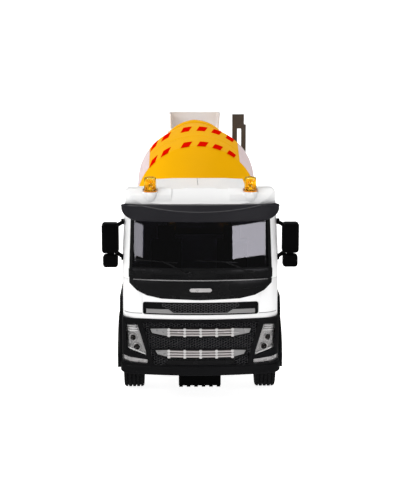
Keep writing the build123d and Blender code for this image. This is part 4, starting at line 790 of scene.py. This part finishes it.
def screen_seal():
    """Rubber round the windscreen, and the joints of the cab's face and the roof's lids."""
    seal = Shape()
    seal.add(*strip((-45.0, 45.0), (90.7, 91.7), -0.58, 0.4, on_cab))
    low = [(41.9, 122.0), (43.0, 91.0), (45.0, 91.0)]
    high = [(41.9, 122.4), (43.9, 122.4), (45.0, 91.3)]
    both_sides(seal, low, high, -0.2, 0.5, on_cab, pitch=0.4)
    finish_piece(seal, "screen_seal", MATS["tyre_rubber"], "truck", bevel=0.12)
    seam = Shape()
    x = SLOT_HALF + 0.4
    both_sides(seam, [(x, 61.85), (48.4, 61.85)], [(x, 62.2), (48.4, 62.2)], -0.03, 0.1, on_cab,
               pitch=0.5)
    for station, top in ((36.5, 139.31), (55.0, 139.11)):
        points = [(x, y_at(d), z)
                  for x in (-1.4, -1.1)
                  for d, t in ((station, top), (station + 18.4, top - 0.2))
                  for z in (t - 0.4, t + 0.05)]
        seam.add(points, BOX_FACES)
    finish_piece(seam, "cab_seams", MATS["grey_plastic"], "truck")


def cab_front_parts():
    """A grey strip along the dark panel's top as a painted highlight of its edge, and the slats of
    the air intakes in the cowl.
    """
    # Painted highlight: this grey strip stands in for the light caught along the panel's top edge.
    trim = Shape()
    low = [(-42.6, 83.9), (-30, 83.65), (30, 83.65), (42.6, 83.9)]
    high = [(-42.6, 84.1), (-30, 84.25), (30, 84.25), (42.6, 84.1)]
    trim.add(*plate(low, high, -1.12, -0.6, on_cab))
    finish_piece(trim, "panel_top_highlight_strip", MATS["vane_grey"], "truck", bevel=0.18)
    vents = Shape()
    for x0, x1 in ((-31.0, -10.5), (10.0, 27.0)):
        vents.add(*strip((x0, x1), (85.3, 85.6), -0.75, -0.3, on_cab))
        vents.add(*strip((x0, x1), (87.0, 87.3), -0.75, -0.3, on_cab))
        count = round((x1 - x0) / 1.3)
        for k in range(count + 1):
            x = x0 + (x1 - x0 - 0.3) * k / count
            vents.add(*strip((x, x + 0.3), (85.5, 87.1), -0.68, -0.3, on_cab))
    finish_piece(vents, "cowl_vents", MATS["black_plastic"], "truck",
                 bevel=0.08)


# Height of the wipers' pivots, and X of each pivot with the two ends of its blade
WIPER_Z = 87.8
WIPERS = ((-6.7, (-42.0, -15.0)), (34.0, (-3.0, 23.0)))


def wipers():
    """Each wiper as a capped boss, a cranked arm, a blade carrier and its rubber."""
    arms, rubbers = Shape(), Shape()
    for pivot, (x0, x1) in WIPERS:
        origin = on_cab(pivot, WIPER_Z, -0.2)
        cap = [(0.05, 0.0), (1.7, 0.0), (1.7, 0.9), (1.35, 1.3), (0.9, 1.36), (0.05, 1.36)]
        arms.add(*revolve(cap, 24), turned(origin, (0, -1, 0)))
        middle = (x0 + x1) / 2 + 4
        knee = (pivot + (middle - pivot) * 0.25, WIPER_Z + 1.6)
        rail = on_cab(middle, 95.9, -1.0)
        bend = on_cab(*knee, -1.35)
        arms.add(*ellipse_bar(on_cab(pivot, WIPER_Z, -1.0), bend, (0.7, 0.42)))
        arms.add(*ellipse_bar(bend, rail, (0.62, 0.36), taper=0.6, sag=(0, -0.2, 0.6)))
        z0, z1 = 96.65, 95.15
        low, high = [(x0, z0 - 0.2), (x1, z1 - 0.2)], [(x0, z0 + 0.25), (x1, z1 + 0.25)]
        arms.add(*plate(low, high, -1.0, -0.55, on_cab))
        low, high = [(x0, z0 - 0.45), (x1, z1 - 0.45)], [(x0, z0 + 0.1), (x1, z1 + 0.1)]
        rubbers.add(*plate(low, high, -0.58, 0.28, on_cab))
    finish_piece(arms, "wiper_arms", MATS["gloss_black"], "truck", ("wipers",),
                 bevel=0.1)
    finish_piece(rubbers, "wiper_rubbers", MATS["tyre_rubber"], "truck",
                 bevel=0.08)


def mirror_glasses():
    """The mirrors' silvered faces, looking back."""
    glasses = Shape()
    for side in (1, -1):
        for z0, z1, half in MIRROR_GLASSES:
            x = side * MIRROR_X
            outline = rounded_profile([(-half, z0), (half, z0), (half, z1), (-half, z1)], 1.8, 4)
            front = [(x + u, y_at(MIRROR_STATION), v) for u, v in outline]
            back = [(x + u * 0.97, y_at(MIRROR_STATION + 0.25), v) for u, v in outline]
            points, faces = grid([front, back], loop_columns=True)
            count = len(outline)
            faces += [tuple(range(count)), tuple(range(count, 2 * count))[::-1]]
            glasses.add(points, faces)
    finish_piece(glasses, "mirror_glasses", MATS["chrome"], "truck")


# ---------- drum


def drum_place():
    """Local Z along the drum's axis, local X across and local Y down."""
    down = Vector((0, math.sin(DRUM_TILT), -math.cos(DRUM_TILT)))
    axis = Vector((0, math.cos(DRUM_TILT), math.sin(DRUM_TILT)))
    turn = Matrix((Vector((1, 0, 0)), down, axis)).transposed().to_4x4()
    return Matrix.Translation((0, y_at(DRUM_STATION), DRUM_Z)) @ turn


def drum_r(a):
    """Outside radius of the drum at a place along its axis."""
    if a < 0:
        return DRUM_R + (CONE_FRONT_R - DRUM_R) * a / CONE_FRONT_A
    if a < BAND_A:
        return DRUM_R
    return DRUM_R + (MOUTH_R - DRUM_R) * (a - BAND_A) / (MOUTH_A - BAND_A)


def film(phi, a, lean=0.0, steps=(10, 6)):
    """A printed patch on the drum's band.

    It lies between two angles in degrees about the drum's top and two places along its axis.
    """
    rows = []
    for r in (DRUM_R + FILM, DRUM_R - 0.05):
        net = []
        for i in range(steps[0] + 1):
            for j in range(steps[1] + 1):
                t = j / steps[1]
                q = math.radians(phi[0] + (phi[1] - phi[0]) * i / steps[0] + lean * (t - 0.5))
                net.append((r * math.sin(q), -r * math.cos(q), a[0] + (a[1] - a[0]) * t))
        rows.append(net)
    wide, count = steps[1] + 1, len(rows[0])
    faces = []
    for i in range(steps[0]):
        for j in range(steps[1]):
            k = i * wide + j
            face = (k, k + 1, k + wide + 1, k + wide)
            faces += [face, tuple(count + m for m in face[::-1])]
    edge = list(range(wide))
    edge += [i * wide + steps[1] for i in range(1, steps[0] + 1)]
    edge += [steps[0] * wide + j for j in range(steps[1] - 1, -1, -1)]
    edge += [i * wide for i in range(steps[0] - 1, 0, -1)]
    for here, there in zip(edge, edge[1:] + edge[:1]):
        faces.append((here, there, count + there, count + here))
    return rows[0] + rows[1], faces


def drum_shells(place):
    """The front shell with its cap bolts, and the rear shell with its track ring and mouth."""
    w = DRUM_WALL
    front = [
        (0.05, -56), (SHAFT_R, -56), (SHAFT_R, -46.4), (9, -46.4), (9.4, -44.6),
        (CONE_FRONT_R - 2.5, CONE_FRONT_A - 3.0), (CONE_FRONT_R - 0.4, CONE_FRONT_A - 0.8),
        (CONE_FRONT_R + 0.4, CONE_FRONT_A + 0.8), (DRUM_R - 0.7, -1.2), (DRUM_R - 0.1, -0.3),
        (DRUM_R, 0.6), (DRUM_R, JOINT_A - 0.5), (DRUM_R - 0.3, JOINT_A - 0.08),
        (DRUM_R - w, JOINT_A - 0.08), (DRUM_R - w, 0.4), (CONE_FRONT_R - w, CONE_FRONT_A + 0.8),
        (CONE_FRONT_R - 3.5, CONE_FRONT_A - 1.2), (0.05, -43.0),
    ]
    low, high = TRACK_A - TRACK_W / 2, TRACK_A + TRACK_W / 2
    rear = [
        (DRUM_R - 0.3, JOINT_A + 0.08), (DRUM_R, JOINT_A + 0.5), (DRUM_R, BAND_A - 0.5),
        (DRUM_R - 0.25, BAND_A + 0.5), (drum_r(low), low), (TRACK_R - 0.35, low),
        (TRACK_R, low + 0.35), (TRACK_R, high - 0.35), (TRACK_R - 0.35, high),
        (drum_r(high), high), (MOUTH_R, MOUTH_A), (MOUTH_R + 0.1, MOUTH_A + 0.1),
        (MOUTH_R + 0.2, MOUTH_A + 0.4), (MOUTH_R + 0.2, MOUTH_A + 2.7), (MOUTH_R, MOUTH_A + 3),
        (MOUTH_R - w + 0.3, MOUTH_A + 3), (MOUTH_R - w, MOUTH_A + 2.7), (MOUTH_R - w, MOUTH_A),
        (DRUM_R - w, BAND_A - 0.4), (DRUM_R - w, JOINT_A + 0.08),
    ]
    bolt = [(0.05, -0.6), (1.0, -0.6), (1.1, -0.2), (1.1, 0.7), (0.05, 0.9)]
    shell = Shape().add(*revolve(front, DRUM_STEPS), place)
    for k in range(BOLTS):
        turn = place @ Matrix.Rotation(2 * math.pi * (k + 0.5) / BOLTS, 4, "Z")
        shell.add(*revolve(bolt, 6), turn @ Matrix.Translation((BOLT_CIRCLE_R, 0, BOLT_A)))
    finish_piece(shell, "drum_front", MATS["drum_plastic"], "drum", ("drum_front_shell",),
                 angle=28)
    shell = Shape().add(*revolve(rear, DRUM_STEPS), place)
    finish_piece(shell, "drum_rear", MATS["drum_plastic"], "drum", ("drum_rear_shell",),
                 angle=28)


def mixing_fins(place):
    """Two screw-shaped fins inside the rear cone, up to the mouth."""
    fins = Shape()
    for start in (0.0, math.pi):
        rows = []
        for k in range(FIN_STEPS + 1):
            t = k / FIN_STEPS
            a = FIN_A + FIN_LONG * t
            q = start + FIN_TURN * t
            outer = drum_r(a) - DRUM_WALL - 0.02
            inner = outer - 4.6 - 1.2 * math.sin(math.pi * t)
            section = ((outer, 0), (inner, 0.5), (inner, 1.3), (outer, 1.5))
            rows.append([(r * math.cos(q), r * math.sin(q), a + rise) for r, rise in section])
        points, faces = grid(rows, loop_columns=True)
        faces += [(3, 2, 1, 0), tuple(len(points) - 4 + k for k in range(4))]
        fins.add(points, faces, place)
    finish_piece(fins, "drum_mixing_fins", MATS["drum_plastic"], "drum",
                 bevel=0.15)


def drum_print(place):
    """The red marks of the yellow sectors, and the white panels between those sectors."""
    marks, panels = Shape(), Shape()
    for half_turn in (0.0, 180.0):
        for row in MARK_ROWS:
            span = (row - MARK_LONG / 2, row + MARK_LONG / 2)
            for angle in MARK_ANGLES:
                phi = (half_turn + angle - MARK_WIDE / 2, half_turn + angle + MARK_WIDE / 2)
                marks.add(*film(phi, span, lean=MARK_LEAN), place)
        phi = (half_turn + YELLOW_SECTOR[1], half_turn + 180.0 + YELLOW_SECTOR[0])
        panels.add(*film(phi, (0.6, JOINT_A - 0.3), steps=(40, 4)), place)
        panels.add(*film(phi, (JOINT_A + 0.3, BAND_A - 0.6), steps=(40, 4)), place)
    finish_piece(marks, "drum_red_marks", MATS["mark_red"], "drum")
    finish_piece(panels, "drum_white_panels", MATS["panel_white"], "drum")


# ---------- tyres


def tyre_rows(width):
    """Section of a tyre as radius and place across: sidewall, four running grooves, sidewall."""
    wall = [
        (RIM_R, 0.9), (RIM_R + 0.5, 0.25), (RIM_R + 1.3, 0.0), (RIM_R + 1.9, 0.25),
        (RIM_R + 2.3, 0.45), (RIM_R + 2.9, 0.3), (RIM_R + 4.4, 0.05), (RIM_R + 5.2, 0.35),
        (RIM_R + 5.9, 0.3), (TYRE_R - 1.3, 0.15), (TYRE_R - 0.75, 0.45), (TYRE_R - 0.3, 0.95),
        (TYRE_R - 0.05, 1.7),
    ]
    grooves = []
    for k in range(4):
        across = width * (0.2 + 0.2 * k)
        grooves += [(TYRE_R, across - 0.5), (TYRE_R - 1.0, across - 0.3)]
        grooves += [(TYRE_R - 1.0, across + 0.3), (TYRE_R, across + 0.5)]
    return wall + grooves + [(r, width - z) for r, z in reversed(wall)]


def tyre(x0, x1, station):
    """A tyre whose ribs are cut across into blocks, the middle ones staggered."""
    width, sign = abs(x1 - x0), 1 if x1 > x0 else -1
    profile = tyre_rows(width)
    rows = []
    for k in range(TYRE_STEPS):
        a = 2 * math.pi * k / TYRE_STEPS
        line = []
        for r, z in profile:
            rib = int(z / width / 0.2)
            cut = (k + 2 * (rib % 2)) % BLOCK_STEPS == 0
            deep = 0.55 if rib in (0, 4) else 0.3
            radius = r - deep if cut and r > TYRE_R - 0.5 else r
            line.append((radius * math.cos(a), radius * math.sin(a), z))
        rows.append(line)
    place = turned((x0, y_at(station), TYRE_R), (sign, 0, 0), (0, 1, 0))
    points, faces = grid(rows, loop_rows=True, loop_columns=True)
    return points, faces, place


def tyres():
    for side, name in ((1, "front_left"), (-1, "front_right")):
        inside, outside = side * (TYRE_OUT_X - FRONT_TYRE_W), side * TYRE_OUT_X
        shape = Shape().add(*tyre(inside, outside, FRONT_AXLE))
        finish_piece(shape, f"{name}_tread", MATS["tyre_rubber"], f"{name}_wheel",
                     (f"{name}_tyre",), angle=32)
    outer = (TYRE_OUT_X - REAR_TYRE_W, TYRE_OUT_X)
    inner = (outer[0] - DUAL_GAP - REAR_TYRE_W, outer[0] - DUAL_GAP)
    for number, axle in enumerate(REAR_AXLES, start=1):
        shape = Shape()
        for side in (1, -1):
            for x0, x1 in (outer, inner):
                shape.add(*tyre(side * x0, side * x1, axle))
        name = f"rear_axle_{number}"
        finish_piece(shape, f"{name}_treads", MATS["tyre_rubber"], name, (f"{name}_tyres",),
                     angle=32)


grille_parts()
headlamps()
beacons()
cab_front_parts()
sun_visor()
screen_seal()
wipers()
mirror_glasses()
drum = drum_place()
drum_shells(drum)
mixing_fins(drum)
drum_print(drum)
tyres()


# ---------- studio

# The paper in metres: its half width, its front and rear end on the ground, the radius of the
# bend behind that and the height of its top, with the strength of its glow
PAPER_HALF, PAPER_FRONT, PAPER_REAR, PAPER_BEND, PAPER_TOP = 4.0, -3.0, 1.4, 1.2, 4.0
PAPER_GLOW = 0.92
WORLD_LIGHT = 0.1


def floor_paper():
    """White paper sweep, lit through like a light table."""
    mat = plastic("paper_sweep", (0.9, 0.9, 0.9), 0.9, shift=0.003, bump=0.0,
                  Emission_Color=(1, 1, 1, 1), Emission_Strength=PAPER_GLOW)
    mesh = bpy.data.meshes.new("floor")
    bm = bmesh.new()
    reach = [(PAPER_FRONT, 0.0)]
    for k in range(13):
        a = k * math.pi / 24
        reach.append((PAPER_REAR + PAPER_BEND * math.sin(a), PAPER_BEND - PAPER_BEND * math.cos(a)))
    reach.append((PAPER_REAR + PAPER_BEND, PAPER_TOP))
    rows = [[bm.verts.new((x, y, z)) for y, z in reach] for x in (-PAPER_HALF, PAPER_HALF)]
    for k in range(len(reach) - 1):
        bm.faces.new((rows[0][k], rows[1][k], rows[1][k + 1], rows[0][k + 1]))
    bm.to_mesh(mesh)
    bm.free()
    floor = bpy.data.objects.new("floor", mesh)
    bpy.context.scene.collection.objects.link(floor)
    mesh.materials.append(mat)
    floor.visible_glossy = False


# Name, place in metres, aim, roll in degrees, width, height, watts and colour of each soft box.
# The last two are narrow cards whose reflections lie across the windscreen.
WHITE, LILAC = (1.0, 1.0, 1.0), (0.94, 0.92, 1.0)
SOFT_BOXES = (
    ("key", (-1.3, -0.9, 1.3), (0, 0, 0.08), 0, 0.9, 0.9, 16.5, WHITE),
    ("fill", (1.5, -1.0, 0.9), (0, 0, 0.08), 0, 0.7, 0.7, 4.0, WHITE),
    ("top", (0.0, 0.1, 1.9), (0, 0, 0.08), 0, 1.2, 1.2, 14.5, WHITE),
    ("card_right", (0.276, -0.692, 0.194), (0.034, -0.165, 0.106), -2.4, 0.22, 0.036, 0.23, LILAC),
    ("card_left", (-0.352, -0.668, 0.194), (-0.038, -0.165, 0.106), 0.8, 0.15, 0.036, 0.1, LILAC),
)


def studio():
    world = bpy.data.worlds.new("studio")
    bpy.context.scene.world = world
    world.use_nodes = True
    background = world.node_tree.nodes["Background"]
    background.inputs["Color"].default_value = (1, 1, 1, 1)
    background.inputs["Strength"].default_value = WORLD_LIGHT
    floor_paper()
    for label, place, target, roll, wide, high, power, colour in SOFT_BOXES:
        lamp = bpy.data.lights.new(label, "AREA")
        lamp.shape = "RECTANGLE"
        lamp.size, lamp.size_y = wide, high
        lamp.energy = power
        lamp.color = colour
        holder = bpy.data.objects.new(label, lamp)
        holder.location = place
        aim = Vector(target) - Vector(place)
        turn = aim.to_track_quat("-Z", "Y").to_matrix()
        turn = turn @ Matrix.Rotation(math.radians(roll), 3, "Z")
        holder.rotation_euler = turn.to_euler()
        bpy.context.scene.collection.objects.link(holder)


# The camera: focal length in millimetres, place in metres with Y counted from the nose, and the
# angles in degrees that it looks down and to the right
CAMERA_LENS = 91.73
CAMERA_PLACE = (-0.01365, -0.780, 0.2537)
CAMERA_DOWN, CAMERA_RIGHT = 10.886, 0.967


def camera():
    data = bpy.data.cameras.new("camera")
    data.lens = CAMERA_LENS
    data.clip_start = 0.01
    cam = bpy.data.objects.new("camera", data)
    x, from_nose, z = CAMERA_PLACE
    cam.location = (x, FRONT * MM + from_nose, z)
    cam.rotation_euler = (math.radians(90 - CAMERA_DOWN), 0, -math.radians(CAMERA_RIGHT))
    bpy.context.scene.collection.objects.link(cam)
    bpy.context.scene.camera = cam


studio()
camera()
bpy.context.scene.view_settings.view_transform = "Standard"
